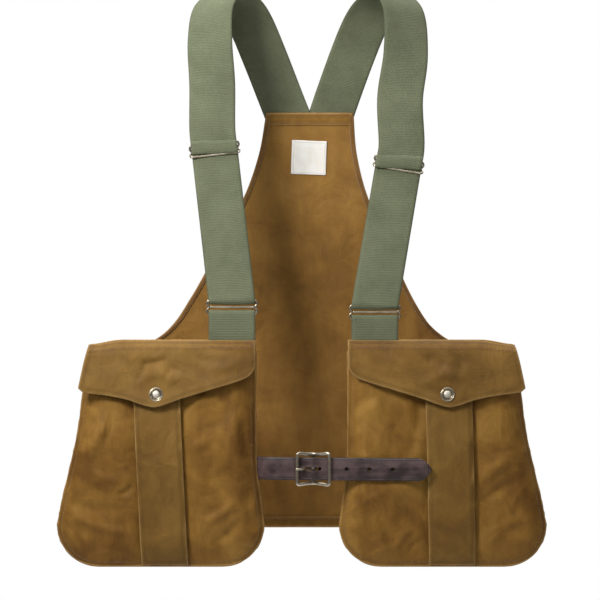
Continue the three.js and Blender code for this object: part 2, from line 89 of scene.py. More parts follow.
# ---- camera and light, in metres ----
CAMERA_PLACE, SENSOR, LENS = (-0.002, -2.47, -0.354), 36, 128.9
LAMP_TARGET = Vector((0, 0, -0.35))
LAMPS = {
    "key": ((-0.63, -0.77, 0.34), 0.36, 12.5),
    "fill": ((0.0, -2.3, 0.9), 1.2, 6),
    "top": ((0.0, 0.1, 1.5), 1.6, 26),
    "back": ((0.5, 1.9, 0.9), 1.4, 26),
}
DOME_STOPS = [(0.0, 0.02), (0.45, 0.05), (0.6, 0.13), (1.0, 0.5)]
FLOOR_LEVEL, FLOOR_REACH = -1.4, 4


def set_camera(scene):
    """Straight on from the front, as far away as the photo's perspective asks."""
    camera = bpy.data.objects.new("camera", bpy.data.cameras.new("camera"))
    camera.data.sensor_width = SENSOR
    camera.data.lens = LENS
    camera.location = CAMERA_PLACE
    camera.rotation_euler = (math.pi / 2, 0, 0)
    scene.collection.objects.link(camera)
    scene.camera = camera


def set_world(scene):
    """A dome of light, dark below and brightest overhead, which the camera sees as plain white."""
    world = bpy.data.worlds.new("studio")
    world.use_nodes = True
    tree = world.node_tree
    height = node(tree, "SeparateXYZ", {0: node(tree, "TexCoord").outputs["Generated"]}).outputs[2]
    share = maths(tree, "MULTIPLY_ADD", height, 0.5)
    share.node.inputs[2].default_value = 0.5
    dome = ramp(tree, share, *((place, grey(value)) for place, value in DOME_STOPS))
    seen = node(tree, "LightPath").outputs["Is Camera Ray"]
    background = tree.nodes["Background"]
    tree.links.new(blend_color(tree, "MIX", seen, dome, (1, 1, 1, 1)), background.inputs["Color"])
    background.inputs["Strength"].default_value = 1.0
    scene.world = world


def set_lamps(scene):
    """Soft area lamps, all turned to the middle of the vest."""
    for name, (place, size, power) in LAMPS.items():
        lamp = bpy.data.objects.new(name, bpy.data.lights.new(name, "AREA"))
        lamp.data.size = size
        lamp.data.energy = power
        lamp.location = place
        lamp.rotation_euler = (LAMP_TARGET - Vector(place)).to_track_quat("-Z", "Y").to_euler()
        scene.collection.objects.link(lamp)


def set_floor(scene):
    """A plain pale floor below the hanging vest."""
    mesh = bpy.data.meshes.new("floor")
    reach = FLOOR_REACH
    corners = [(-reach, -reach), (reach, -reach), (reach, reach), (-reach, reach)]
    mesh.from_pydata([(x, y, FLOOR_LEVEL) for x, y in corners], [], [(0, 1, 2, 3)])
    floor = bpy.data.objects.new("floor", mesh)
    scene.collection.objects.link(floor)
    pale = new_material("pale_floor", Base_Color=(0.8, 0.8, 0.79, 1), Roughness=0.9)[0]
    mesh.materials.append(pale)


def set_stage():
    scene = bpy.context.scene
    scene.view_settings.view_transform = "Standard"
    set_camera(scene)
    set_world(scene)
    set_lamps(scene)
    set_floor(scene)


# ---- numbers ----
def mix(a, b, t):
    """The value a share t of the way from a to b."""
    return a + (b - a) * t


def smoothstep(a, b, x):
    """0 below a, 1 above b, and smooth between."""
    t = np.clip((x - a) / (b - a), 0, 1)
    return t * t * (3 - 2 * t)


def through(*pairs):
    """A smooth function through (position, value) pairs in rising order of position."""
    xs, ys = np.array(pairs, float).T
    chords = np.diff(ys) / np.diff(xs)
    slopes = [chords[0], *((ys[2:] - ys[:-2]) / (xs[2:] - xs[:-2])), chords[-1]]
    slopes = np.array(slopes)

    def at(p):
        p = np.clip(p, xs[0], xs[-1])
        i = np.clip(np.searchsorted(xs, p, side="right") - 1, 0, len(xs) - 2)
        span = xs[i + 1] - xs[i]
        t = (p - xs[i]) / span
        rise = t * t * (3 - 2 * t)
        lead = t * (1 - t) ** 2 * span * slopes[i]
        trail = t * t * (1 - t) * span * slopes[i + 1]
        return mix(ys[i], ys[i + 1], rise) + lead - trail

    return at


def noise(x, z, size, seed, turn=0.0, stretch=1.0):
    """Smooth noise from -1 to 1: patches of that size, stretched along a direction turned from +Z."""
    table = np.random.default_rng(SEED + seed).uniform(-1, 1, (64, 64))
    c, s = math.cos(turn), math.sin(turn)
    a = (x * c - z * s) / size
    b = (x * s + z * c) / (size * stretch)
    i, j = np.floor(a).astype(int), np.floor(b).astype(int)
    fa, fb = a - i, b - j
    fa, fb = fa**3 * (fa * (6 * fa - 15) + 10), fb**3 * (fb * (6 * fb - 15) + 10)
    low = mix(table[i % 64, j % 64], table[(i + 1) % 64, j % 64], fa)
    high = mix(table[i % 64, (j + 1) % 64], table[(i + 1) % 64, (j + 1) % 64], fa)
    return mix(low, high, fb)


def crease(x, z, size, seed, turn, stretch):
    """Ridged noise from 0 to 1 for the soft folds of waxed cloth: narrow crests, broad hollows."""
    return (1 - np.abs(noise(x, z, size, seed, turn, stretch))) ** 3


def drawn_folds(x, z, lines):
    """Soft ridges and valleys along lines of (x0, z0, x1, z1, width, height), fading at their ends."""
    total = 0.0 * x
    for x0, z0, x1, z1, width, height in lines:
        ax, az = x1 - x0, z1 - z0
        length = math.hypot(ax, az)
        along = ((x - x0) * ax + (z - z0) * az) / length**2
        away = ((x - x0) * az - (z - z0) * ax) / length + 0.5 * width * np.sin(3 * along)
        total = total + height * np.exp(-((away / width) ** 2)) * np.exp(-(((along - 0.5) / 0.5) ** 4))
    return total


def points(x, y, z):
    """An array of points from coordinates that may be arrays or numbers."""
    return np.stack(np.broadcast_arrays(x, y, z), -1).astype(float)


def unit(v):
    return v / np.maximum(np.linalg.norm(v, axis=-1, keepdims=True), 1e-9)


# ---- meshes ----
def new_object(name, vertices, faces, material, attributes=None):
    """A smooth-shaded mesh object from millimetre vertices, with its faces turned outward."""
    mesh = bpy.data.meshes.new(name)
    mesh.from_pydata((np.asarray(vertices, float) * MM).tolist(), [], faces)
    for key, values in (attributes or {}).items():
        kind = "FLOAT_VECTOR" if np.ndim(values) == 2 else "FLOAT"
        layer = mesh.attributes.new(key, kind, "POINT")
        field = "vector" if kind == "FLOAT_VECTOR" else "value"
        layer.data.foreach_set(field, np.asarray(values, np.float32).ravel())
    work = bmesh.new()
    work.from_mesh(mesh)
    bmesh.ops.recalc_face_normals(work, faces=work.faces)
    work.to_mesh(mesh)
    work.free()
    mesh.polygons.foreach_set("use_smooth", [True] * len(mesh.polygons))
    mesh.materials.append(material)
    made = bpy.data.objects.new(name, mesh)
    bpy.context.scene.collection.objects.link(made)
    return made


def fit(piece, body, stands_for=None):
    """Rides a piece on a body and the CAD node it takes the place of."""
    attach(piece, body)
    if stands_for:
        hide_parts(stands_for)


class Sheet:
    """A layer of cloth: place(u, v) is its middle, with u and v from 0 to 1 and the front facing u x v."""

    def __init__(self, place, thickness=CLOTH):
        self.place = place
        self.thickness = thickness

    def at(self, u, v, lift=0.0):
        """Points on the front face, raised by lift, and the normals there."""
        u, v = np.broadcast_arrays(np.asarray(u, float), np.asarray(v, float))
        step = 2e-3
        du = self.place(np.minimum(u + step, 1), v) - self.place(np.maximum(u - step, 0), v)
        dv = self.place(u, np.minimum(v + step, 1)) - self.place(u, np.maximum(v - step, 0))
        normal = unit(np.cross(du, dv))
        return self.place(u, v) + normal * (self.thickness / 2 + lift), normal

    def build(self, name, columns, rows, material):
        """columns and rows are counts, or the values of u and v themselves."""
        u = np.linspace(0, 1, columns + 1) if np.isscalar(columns) else np.asarray(columns, float)
        v = np.linspace(0, 1, rows + 1) if np.isscalar(rows) else np.asarray(rows, float)
        uu, vv = np.meshgrid(u, v, indexing="ij")
        middle = self.place(uu, vv)
        normal = unit(np.cross(np.gradient(middle, axis=0), np.gradient(middle, axis=1)))
        half = self.thickness / 2
        n, m = len(u), len(v)
        walk_u = np.linalg.norm(np.diff(middle, axis=0, prepend=middle[:1]), axis=-1).cumsum(0)
        walk_v = np.linalg.norm(np.diff(middle, axis=1, prepend=middle[:, :1]), axis=-1).cumsum(1)
        to_edge = np.minimum.reduce([walk_u, walk_u[-1:] - walk_u, walk_v, walk_v[:, -1:] - walk_v])
        cloth = np.stack([walk_u - walk_u[-1:] / 2, walk_v, np.zeros_like(walk_u)], -1)

        index = np.arange(n * m).reshape(n, m)
        front = np.stack([index[:-1, :-1], index[1:, :-1], index[1:, 1:], index[:-1, 1:]], -1)
        front = front.reshape(-1, 4)
        back = front[:, ::-1] + n * m
        loop = np.concatenate([index[:-1, 0], index[-1, :-1], index[:0:-1, -1], index[0, :0:-1]])
        around = middle.reshape(-1, 3)[loop]
        along = unit(np.roll(around, -1, 0) - np.roll(around, 1, 0))
        outward = unit(np.cross(along, normal.reshape(-1, 3)[loop]))
        rim = around + outward * half * 0.8
        start = 2 * n * m
        k = np.arange(len(loop))
        k_next = np.roll(k, -1)
        rim_front = np.stack([loop, start + k, start + k_next, loop[k_next]], -1)
        rim_back = np.stack([start + k, loop + n * m, loop[k_next] + n * m, start + k_next], -1)
        vertices = np.concatenate(
            [(middle + normal * half).reshape(-1, 3), (middle - normal * half).reshape(-1, 3), rim]
        )
        edge = np.concatenate([to_edge.ravel(), to_edge.ravel(), np.zeros(len(loop))])
        flat = cloth.reshape(-1, 3)
        return new_object(
            name,
            vertices,
            np.concatenate([front, back, rim_front, rim_back]).tolist(),
            material,
            attributes={"edge": edge, "cloth": np.concatenate([flat, flat, flat[loop]])},
        )


def spline(stops, closed=False, per_span=6):
    """Points of a centripetal Catmull-Rom curve through the stops, and each point's place in them."""
    stops = np.asarray(stops, float)
    count = len(stops)
    made, where = [], []
    spans = count if closed else count - 1
    for i in range(spans):
        p1, p2 = stops[i], stops[(i + 1) % count]
        p0 = stops[i - 1] if closed or i > 0 else 2 * p1 - p2
        p3 = stops[(i + 2) % count] if closed or i + 2 < count else 2 * p2 - p1
        d0, d1, d2 = (max(np.linalg.norm(b - a) ** 0.5, 1e-3) for a, b in ((p0, p1), (p1, p2), (p2, p3)))
        t1 = ((p1 - p0) / d0 - (p2 - p0) / (d0 + d1) + (p2 - p1) / d1) * d1
        t2 = ((p2 - p1) / d1 - (p3 - p1) / (d1 + d2) + (p3 - p2) / d2) * d1
        last = i == spans - 1 and not closed
        t = np.linspace(0, 1, per_span + 1)[: None if last else -1, None]
        made.append(
            (2 * t**3 - 3 * t**2 + 1) * p1 + (t**3 - 2 * t**2 + t) * t1
            + (3 * t**2 - 2 * t**3) * p2 + (t**3 - t**2) * t2
        )
        where.append(i + t[:, 0])
    return np.concatenate(made), np.concatenate(where)


def tangents(path, closed=False):
    """Unit directions along a path at its points."""
    if closed:
        return unit(np.roll(path, -1, 0) - np.roll(path, 1, 0))
    return unit(np.gradient(path, axis=0))


def tube(path, radius, axis, closed=False, sides=14, flatten=1.0):
    """Vertices and faces of a round bar along a path, with end caps if it is open."""
    along = tangents(path, closed)
    outward = unit(np.cross(along, np.broadcast_to(np.asarray(axis, float), path.shape)))
    side = unit(np.cross(outward, along))
    radii = np.broadcast_to(np.asarray(radius, float), len(path))
    turn = np.linspace(0, 2 * math.pi, sides, endpoint=False)
    ring = (
        outward[:, None] * np.cos(turn)[None, :, None]
        + side[:, None] * np.sin(turn)[None, :, None] * flatten
    )
    vertices = (path[:, None] + ring * radii[:, None, None]).reshape(-1, 3)
    faces = []
    count = len(path)
    for k in range(count if closed else count - 1):
        a, b = k * sides, ((k + 1) % count) * sides
        for s in range(sides):
            t = (s + 1) % sides
            faces.append((a + s, b + s, b + t, a + t))
    if not closed:
        faces.append(tuple(range(sides)))
        faces.append(tuple(range((count - 1) * sides, count * sides))[::-1])
    return vertices, faces


def join(*parts):
    """One list of vertices and faces from several."""
    vertices, faces, start = [], [], 0
    for more, shape in parts:
        vertices.append(np.asarray(more, float))
        faces += [tuple(i + start for i in face) for face in shape]
        start += len(more)
    return np.concatenate(vertices), faces


def lathe(profile, segments=48):
    """A turned shape along +Z: its profile of (radius, height) goes from axis to axis, or round."""
    vertices, faces = [], []
    turn = np.linspace(0, 2 * math.pi, segments, endpoint=False)
    for r, h in profile:
        radius = max(r, 1e-4)
        vertices.append(points(radius * np.cos(turn), radius * np.sin(turn), h))
    for k in range(len(profile) - 1):
        for s in range(segments):
            t = (s + 1) % segments
            a, b = k * segments, (k + 1) * segments
            faces.append((a + s, b + s, b + t, a + t))
    faces.append(tuple(range(segments)))
    faces.append(tuple(range((len(profile) - 1) * segments, len(profile) * segments))[::-1])
    return np.concatenate(vertices), faces


def placed(shape, origin, x_axis, y_axis, z_axis):
    """A shape moved to an origin, with its axes turned to those given."""
    vertices, faces = shape
    basis = np.array([x_axis, y_axis, z_axis], float)
    return np.asarray(origin, float) + vertices @ basis, faces


def stitches(name, rows, body, material, pitch=3.3, length=2.5, width=0.75):
    """Thread along rows of (points, normals): each stitch is a small spindle lying on the cloth."""
    shape = np.array(
        [(-1, 0, -0.3), (-0.55, -1, 0), (-0.55, 0, 0.8), (-0.55, 1, 0),
         (0.55, -1, 0), (0.55, 0, 0.8), (0.55, 1, 0), (1, 0, -0.3)]
    )
    shell = [(0, 2, 1), (0, 3, 2), (1, 2, 5, 4), (2, 3, 6, 5), (4, 5, 7), (5, 6, 7),
             (0, 1, 4, 7), (0, 7, 6, 3)]
    vertices, faces = [], []
    for path, normal in rows:
        walk = np.concatenate([[0], np.linalg.norm(np.diff(path, axis=0), axis=1).cumsum()])
        count = int(walk[-1] / pitch)
        for k in range(count):
            middle = (k + 0.5) * pitch
            ends = [middle - length / 2, middle + length / 2]
            a, b = (np.array([np.interp(e, walk, path[:, i]) for i in range(3)]) for e in ends)
            up = unit(np.array([np.interp(middle, walk, normal[:, i]) for i in range(3)]))
            along = unit(b - a)
            side = np.cross(up, along)
            centre = (a + b) / 2
            local = shape * (length / 2, width / 2, width / 2)
            start = len(vertices)
            vertices += list(centre + local @ np.array([along, side, up]))
            faces += [tuple(i + start for i in face) for face in shell]
    fit(new_object(name, vertices, faces, material), body)


# ---- materials ----
RIM = 10  # mm of cloth from its edge that edge ramps can reach


def new_material(name, **sockets):
    """A material with values set on its shader's own sockets."""
    material = bpy.data.materials.new(name)
    material.use_nodes = True
    shader = material.node_tree.nodes["Principled BSDF"]
    for key, value in sockets.items():
        shader.inputs[key.replace("_", " ")].default_value = value
    return material, material.node_tree, shader


def node(tree, kind, inputs=None, **settings):
    """A shader node: its inputs are values, or sockets to link."""
    made = tree.nodes.new("ShaderNode" + kind)
    for key, value in settings.items():
        setattr(made, key, value)
    for key, value in (inputs or {}).items():
        if isinstance(value, bpy.types.NodeSocket):
            tree.links.new(value, made.inputs[key])
        else:
            made.inputs[key].default_value = value
    return made


def ramp(tree, value, *stops):
    """A colour ramp over (place, colour) stops."""
    made = node(tree, "ValToRGB", {"Fac": value})
    elements = made.color_ramp.elements
    while len(elements) < len(stops):
        elements.new(0.5)
    for element, (place, color) in zip(elements, stops):
        element.position = place
        element.color = (*color, 1) if len(color) == 3 else color
    return made.outputs["Color"]


def grey(value):
    return (value, value, value)


def maths(tree, operation, a, b=0.0):
    return node(tree, "Math", {0: a, 1: b}, operation=operation).outputs[0]


def weighted(tree, *terms):
    """The sum of (socket, weight) terms."""
    parts = [maths(tree, "MULTIPLY", socket, weight) for socket, weight in terms]
    total = parts[0]
    for part in parts[1:]:
        total = maths(tree, "ADD", total, part)
    return total


def sine(tree, value, pitch):
    """A wave of that pitch along a value."""
    return maths(tree, "SINE", maths(tree, "MULTIPLY", value, 2 * math.pi / pitch))


def attribute(tree, name, output="Fac"):
    return node(tree, "Attribute", attribute_name=name).outputs[output]


def edge_ramp(tree, *stops):
    """A grey ramp over (distance from the cloth's edge in mm, value) stops."""
    share = maths(tree, "MULTIPLY", attribute(tree, "edge"), 1 / RIM)
    return ramp(tree, share, *((distance / RIM, grey(value)) for distance, value in stops))


def cloth_lengths(tree):
    """Lengths along the cloth in mm: across from its middle line, and up from its foot."""
    split = node(tree, "SeparateXYZ", {0: attribute(tree, "cloth", "Vector")})
    return split.outputs[0], split.outputs[1]


def bump(tree, height, strength, distance, under=None):
    inputs = {"Height": height, "Strength": strength, "Distance": distance}
    if under:
        inputs["Normal"] = under
    return node(tree, "Bump", inputs).outputs[0]


def blend_color(tree, kind, factor, a, b):
    made = node(tree, "Mix", data_type="RGBA", blend_type=kind)
    for key, value in (("Factor", factor), ("A", a), ("B", b)):
        socket = next(s for s in made.inputs if s.name == key and s.enabled)
        if isinstance(value, bpy.types.NodeSocket):
            tree.links.new(value, socket)
        else:
            socket.default_value = value
    return next(s for s in made.outputs if s.enabled)


def object_coordinates(tree):
    return node(tree, "TexCoord").outputs["Object"]


def noise_node(tree, coordinates, scale, detail=3.0, roughness=0.55, distortion=0.0):
    return node(
        tree,
        "TexNoise",
        {"Vector": coordinates, "Scale": scale, "Detail": detail, "Roughness": roughness,
         "Distortion": distortion},
    ).outputs["Fac"]


def canvas_material(name, dark, middle, light, worn):
    """Waxed canvas: cloudy wax mottling, faint rubbed streaks, a plain weave, paler seam edges and a band
    of painted shade just inside each edge.
    """
    material, tree, shader = new_material(name, Sheen_Weight=0.02, Specular_IOR_Level=0.28)
    at = object_coordinates(tree)
    clouds = noise_node(tree, at, 9, 4, 0.6, 0.4)
    blotches = noise_node(tree, at, 34, 5, 0.6, 0.8)
    stretched = node(tree, "Mapping", {"Vector": at, "Scale": (1, 1, 0.22)}).outputs["Vector"]
    streaks = noise_node(tree, stretched, 60, 4, 0.65)
    tone = weighted(tree, (clouds, 0.5), (blotches, 0.3), (streaks, 0.2))
    color = ramp(tree, tone, (0.405, dark), (0.5, middle), (0.6, light))
    seam = edge_ramp(tree, (0, 0.8), (0.7, 0.6), (1.3, 0.0))
    rubbed = maths(tree, "MULTIPLY", seam, maths(tree, "MULTIPLY", streaks, 1.3))
    color = blend_color(tree, "MIX", rubbed, color, (*worn, 1))
    # Painted shade: the colour is darkened in a band 2 to 7 mm inside each edge, where a seam's valley
    # would lie in shade.
    valley = edge_ramp(tree, (2.2, 1.0), (3.4, 0.84), (4.6, 0.84), (7, 1.0))
    color = blend_color(tree, "MULTIPLY", 1.0, color, valley)
    tree.links.new(color, shader.inputs["Base Color"])

    across, along = cloth_lengths(tree)
    yarn_pitch = 0.9
    weave = maths(tree, "MULTIPLY", sine(tree, across, yarn_pitch), sine(tree, along, yarn_pitch))
    slub = noise_node(tree, at, 900, 2)
    surface = maths(tree, "ADD", maths(tree, "MULTIPLY", weave, 0.25), slub)
    fine = bump(tree, surface, 0.25, 0.0004)
    tree.links.new(bump(tree, blotches, 0.5, 0.004, fine), shader.inputs["Normal"])
    rough = ramp(tree, blotches, (0.3, grey(0.62)), (0.7, grey(0.82)))
    tree.links.new(rough, shader.inputs["Roughness"])
    return material


def webbing_material(name, light, dark):
    """Ribbed cotton webbing: ribs across it, plain selvedges, faint warp lines."""
    material, tree, shader = new_material(name, Sheen_Weight=0.05, Specular_IOR_Level=0.25, Roughness=0.85)
    across, along = cloth_lengths(tree)
    rib_pitch, warp_pitch, ribbed_share = 1.9, 1.1, 0.46
    inner = maths(tree, "LESS_THAN", maths(tree, "ABSOLUTE", across), ribbed_share * WEB_WIDTH)
    rib = maths(tree, "MULTIPLY", sine(tree, along, rib_pitch), inner)
    warp = sine(tree, across, warp_pitch)
    at = object_coordinates(tree)
    wear = noise_node(tree, at, 26, 4, 0.6)
    fleck = noise_node(tree, at, 420, 2)
    color = ramp(tree, weighted(tree, (rib, 0.09), (wear, 0.7), (fleck, 0.3)), (0.25, dark), (0.75, light))
    color = blend_color(tree, "MULTIPLY", 1.0, color, edge_ramp(tree, (0, 0.8), (1.2, 1.0)))
    tree.links.new(color, shader.inputs["Base Color"])
    height = weighted(tree, (rib, 0.7), (warp, 0.2))
    tree.links.new(bump(tree, height, 0.5, 0.0003), shader.inputs["Normal"])
    return material


def leather_material():
    """Dark bridle leather: fine grain, a waxy bloom, a creased line inside each edge, and painted shade
    round each hole.
    """
    material, tree, shader = new_material("bridle_leather", Coat_Weight=0.08, Coat_Roughness=0.45)
    at = object_coordinates(tree)
    patches = noise_node(tree, at, 40, 4, 0.6)
    stretched = node(tree, "Mapping", {"Vector": at, "Scale": (0.25, 1, 1)}).outputs["Vector"]
    pull = noise_node(tree, stretched, 160, 3)
    tone = weighted(tree, (patches, 0.6), (pull, 0.4))
    color = ramp(tree, tone, (0.41, (0.034, 0.017, 0.016)), (0.58, (0.125, 0.076, 0.074)))
    line = edge_ramp(tree, (0, 0.1), (0.7, 0.3), (1.2, 1.0), (1.9, 1.0), (2.3, 0.3), (2.7, 0.3), (3.4, 0.8))
    color = blend_color(tree, "MULTIPLY", 1.0, color, line)
    # Painted shade: round each hole the colour goes near black, standing in for the shade inside the hole.
    color = blend_color(tree, "MIX", attribute(tree, "rim"), color, (0.006, 0.004, 0.004, 1))
    tree.links.new(color, shader.inputs["Base Color"])
    grain = node(tree, "TexVoronoi", {"Vector": at, "Scale": 900}).outputs["Distance"]
    groove = bump(tree, line, 0.5, 0.0006, bump(tree, grain, 0.2, 0.0003))
    tree.links.new(groove, shader.inputs["Normal"])
    tree.links.new(ramp(tree, tone, (0.3, grey(0.42)), (0.7, grey(0.58))), shader.inputs["Roughness"])
    return material


def nickel_material(name, dark, light, rough=0.28):
    """Antique nickel: tarnish in patches, fine scratches in the polish."""
    material, tree, shader = new_material(name, Metallic=1.0)
    at = object_coordinates(tree)
    tarnish = noise_node(tree, at, 70, 4, 0.6)
    color = ramp(tree, tarnish, (0.3, dark), (0.6, light))
    tree.links.new(color, shader.inputs["Base Color"])
    scratches = noise_node(tree, at, 1800, 3)
    tree.links.new(bump(tree, scratches, 0.12, 0.0002), shader.inputs["Normal"])
    dulled = ramp(tree, tarnish, (0.3, grey(rough + 0.14)), (0.6, grey(rough)))
    tree.links.new(dulled, shader.inputs["Roughness"])
    return material


def label_material():
    """Plain cream woven label: fine damask ribs and faint soiling."""
    material, tree, shader = new_material("cream_label", Roughness=0.8, Sheen_Weight=0.1)
    rib_pitch = 0.7
    rib = sine(tree, cloth_lengths(tree)[1], rib_pitch)
    soil = noise_node(tree, object_coordinates(tree), 90, 4)
    tone = maths(tree, "ADD", maths(tree, "MULTIPLY", rib, 0.08), soil)
    color = ramp(tree, tone, (0.3, (0.92, 0.87, 0.79)), (0.65, (1.0, 0.98, 0.93)))
    tree.links.new(color, shader.inputs["Base Color"])
    tree.links.new(bump(tree, rib, 0.3, 0.0003), shader.inputs["Normal"])
    return material


def thread_material(name, dark, light):
    """Sewing thread: the twist shows as fine changes of tone."""
    material, tree, shader = new_material(name, Roughness=0.7, Sheen_Weight=0.2)
    twist = noise_node(tree, object_coordinates(tree), 700, 2)
    tree.links.new(ramp(tree, twist, (0.35, dark), (0.65, light)), shader.inputs["Base Color"])
    tree.links.new(bump(tree, twist, 0.3, 0.0003), shader.inputs["Normal"])
    return material


set_stage()
CANVAS = canvas_material(
    "waxed_canvas",
    (0.152, 0.064, 0.006), (0.228, 0.107, 0.014), (0.312, 0.162, 0.028), (0.42, 0.25, 0.09),
)
FOLDED_CANVAS = canvas_material(
    "waxed_canvas_folded",
    (0.142, 0.068, 0.009), (0.19, 0.096, 0.015), (0.245, 0.132, 0.025), (0.42, 0.26, 0.10),
)
# Painted light: a lighter copy of the pockets' canvas, which offsets the shade that falls on the back panel
# and the pocket backs where it is used.
PAINTED_LIGHT_CANVAS = canvas_material(
    "waxed_canvas_painted_light",
    (0.20, 0.094, 0.014), (0.27, 0.132, 0.024), (0.34, 0.175, 0.036), (0.40, 0.235, 0.08),
)
BINDING = canvas_material(
    "canvas_binding",
    (0.12, 0.055, 0.012), (0.19, 0.09, 0.02), (0.25, 0.125, 0.034), (0.38, 0.22, 0.08),
)
WEBBING = webbing_material("ribbed_webbing", (0.185, 0.203, 0.122), (0.108, 0.12, 0.068))
LEATHER = leather_material()
NICKEL = nickel_material("antique_nickel", (0.32, 0.26, 0.18), (0.60, 0.54, 0.43))
DOME = nickel_material("polished_nickel", (0.52, 0.47, 0.38), (0.74, 0.69, 0.59), 0.5)
OXIDE = nickel_material("darkened_nickel", (0.14, 0.11, 0.07), (0.30, 0.25, 0.17))
LABEL = label_material()
THREAD = thread_material("tan_thread", (0.13, 0.062, 0.02), (0.25, 0.135, 0.05))
RED_THREAD = thread_material("rust_thread", (0.13, 0.045, 0.025), (0.22, 0.09, 0.05))
CREAM_THREAD = thread_material("cream_thread", (0.5, 0.44, 0.34), (0.7, 0.64, 0.52))

# ---- back panel ----
panel_centre = through((-354, 0), (-235, 4.8), (TOP, 9.6))
panel_half = through(
    (BOTTOM, 272), (-606, 272), (-580, 268), (-540, 258.5), (-503, 250.5), (-445, 240),
    (-420, 207), (POCKET_TOP, 169), (-382, 150), (-354, 132), (-325, 116.5), (-235, 73.9),
    (-183, 58), (TOP, 51.6),
)
inner_edge = through((CORNER_TOP, 43), (-580, 46.5), (-540, 51.5), (POCKET_TOP, 52))
outer_edge = through(
    (CORNER_TOP, 273.5), (-580, 268.5), (-540, 259), (-503, 251), (-459, 245), (POCKET_TOP, 236.5)
)


def panel_wrinkle(x, z):
    """How far the panel's cloth stands forward of its plain shape: least under the strap ends."""
    hung = 2.6 * noise(x, z, 70, 1, 0.25, 2.4) + 1.3 * noise(x, z, 34, 2, -0.5, 2.0)
    folds = 1.6 * crease(x, z, 52, 3, 0.9, 2.2) * smoothstep(-0.2, 0.6, noise(x, z, 90, 4))
    calm = smoothstep(TOP, TOP - 40, z) * 0.85 + 0.15
    return (hung + folds) * calm


def on_panel(across, z, depth=0.0):
    """Points of the back panel: across from -1 to 1 round the waist, depth towards the wearer's front.

    Its middle is flat, and its sides turn forward on quarter ellipses that end at the pockets.
    """
    half = panel_half(z) - CLOTH / 2
    reach = np.maximum(outer_edge(z) - CLOTH / 2, half) - FLAT_HALF
    forward = PANEL_Y - WING_END_Y
    mean = (reach + forward) / 2
    turn_max = np.arcsin(np.clip((half - FLAT_HALF) / reach, 0, 1))
    length = np.minimum(half, FLAT_HALF) + mean * turn_max
    s = np.abs(across) * length
    side = np.sign(across)
    turn = np.maximum(s - FLAT_HALF, 0) / mean
    nx, ny = forward * np.sin(turn), reach * np.cos(turn)
    norm = np.hypot(nx, ny)
    x = np.minimum(s, FLAT_HALF) + reach * np.sin(turn)
    fade = 1 - smoothstep(0.85, 1.0, turn / (math.pi / 2))
    out = depth + panel_wrinkle(side * x, z) * fade
    return points(
        panel_centre(z) + side * (x - out * nx / norm),
        np.where(s <= FLAT_HALF, PANEL_Y, WING_END_Y + forward * np.cos(turn)) - out * ny / norm,
        z,
    )


def across_of(x, z):
    """The panel's across value for a distance x from its centre line, on the flat part."""
    half = panel_half(z) - CLOTH / 2
    reach = np.maximum(outer_edge(z) - CLOTH / 2, half) - FLAT_HALF
    mean = (reach + PANEL_Y - WING_END_Y) / 2
    turn_max = np.arcsin(np.clip((half - FLAT_HALF) / reach, 0, 1))
    return x / (np.minimum(half, FLAT_HALF) + mean * turn_max)


def panel_strip(low, high, z_low, z_high, lift):
    """A strip over the panel between two across values, raised towards the front."""
    return Sheet(lambda u, v: on_panel(mix(low, high, u), mix(z_low, z_high, v), lift), 1.0)


def make_back_panel():
    """The back panel with its hems, threads and bound armholes."""
    panel = Sheet(lambda u, v: on_panel(2 * u - 1, mix(BOTTOM, TOP, v)))
    # The panel's cloth uses the canvas copy painted lighter to offset the shade on it.
    cloth = panel.build("back_panel_cloth", 190, 170, PAINTED_LIGHT_CANVAS)
    fit(cloth, "vest", "back_panel")

    # The turned hem across the bib's top, with two rows of thread.
    hem = panel_strip(-0.985, 0.985, TOP - 14, TOP - 0.4, 1.5)
    fit(hem.build("bib_hem_cloth", 60, 12, CANVAS), "vest")
    u = np.linspace(0.02, 0.98, 80)
    stitches("bib_hem_thread", [hem.at(u, v, 0.1) for v in (0.13, 0.86)], "vest", RED_THREAD)

    # Thread seen from behind: inside the armhole edges, the sides, the bottom and the top.
    def behind(u, v):
        place, normal = panel.at(u, v, -CLOTH - 0.15)
        return place, -normal

    v = np.linspace(0.01, 0.985, 320)
    z = mix(BOTTOM, TOP, v)
    rows = []
    for sign in (-1, 1):
        for inset in (3, 9):
            rows.append(behind(0.5 + sign * (0.5 - 0.5 * across_of(inset, z)), v))
    u = np.linspace(0.01, 0.99, 420)
    rows += [behind(u, height) for height in (0.008, 0.024)]
    u = np.linspace(0.05, 0.95, 120)
    rows += [behind(u, height) for height in (0.972, 0.992)]
    stitches("back_thread", rows, "vest", THREAD)

    # The hem along the bottom, seen between the pockets.
    low_hem = panel_strip(-0.62, 0.62, BOTTOM + 0.6, BOTTOM + 12, 1.4)
    fit(low_hem.build("bottom_hem_cloth", 120, 8, CANVAS), "vest")
    u = np.linspace(0.01, 0.99, 200)
    stitches("bottom_hem_thread", [low_hem.at(u, 0.8, 0.1)], "vest", THREAD)

    for name, side in SIDES.items():
        sign = side["sign"]
        z_low = POCKET_TOP - 26

        def tape_place(u, v, sign=sign, z_low=z_low):
            z = mix(z_low, TOP - 2, v)
            t = u if sign > 0 else 1 - u
            inset = across_of(5.5, z) * (1 - t)
            swell = 1.0 + 0.5 * np.sin(math.pi * t)
            return on_panel(sign * (1.004 - inset), z, swell)

        tape = Sheet(tape_place, 1.2)
        made = tape.build(f"armhole_tape_{name}", 8, 150, BINDING)
        fit(made, "vest", f"armhole_binding_{name}")
        v = np.linspace(0.01, 0.99, 160)
        inner = 0.2 if sign > 0 else 0.8
        stitches(f"armhole_thread_{name}", [tape.at(inner, v, 0.05)], "vest", THREAD)


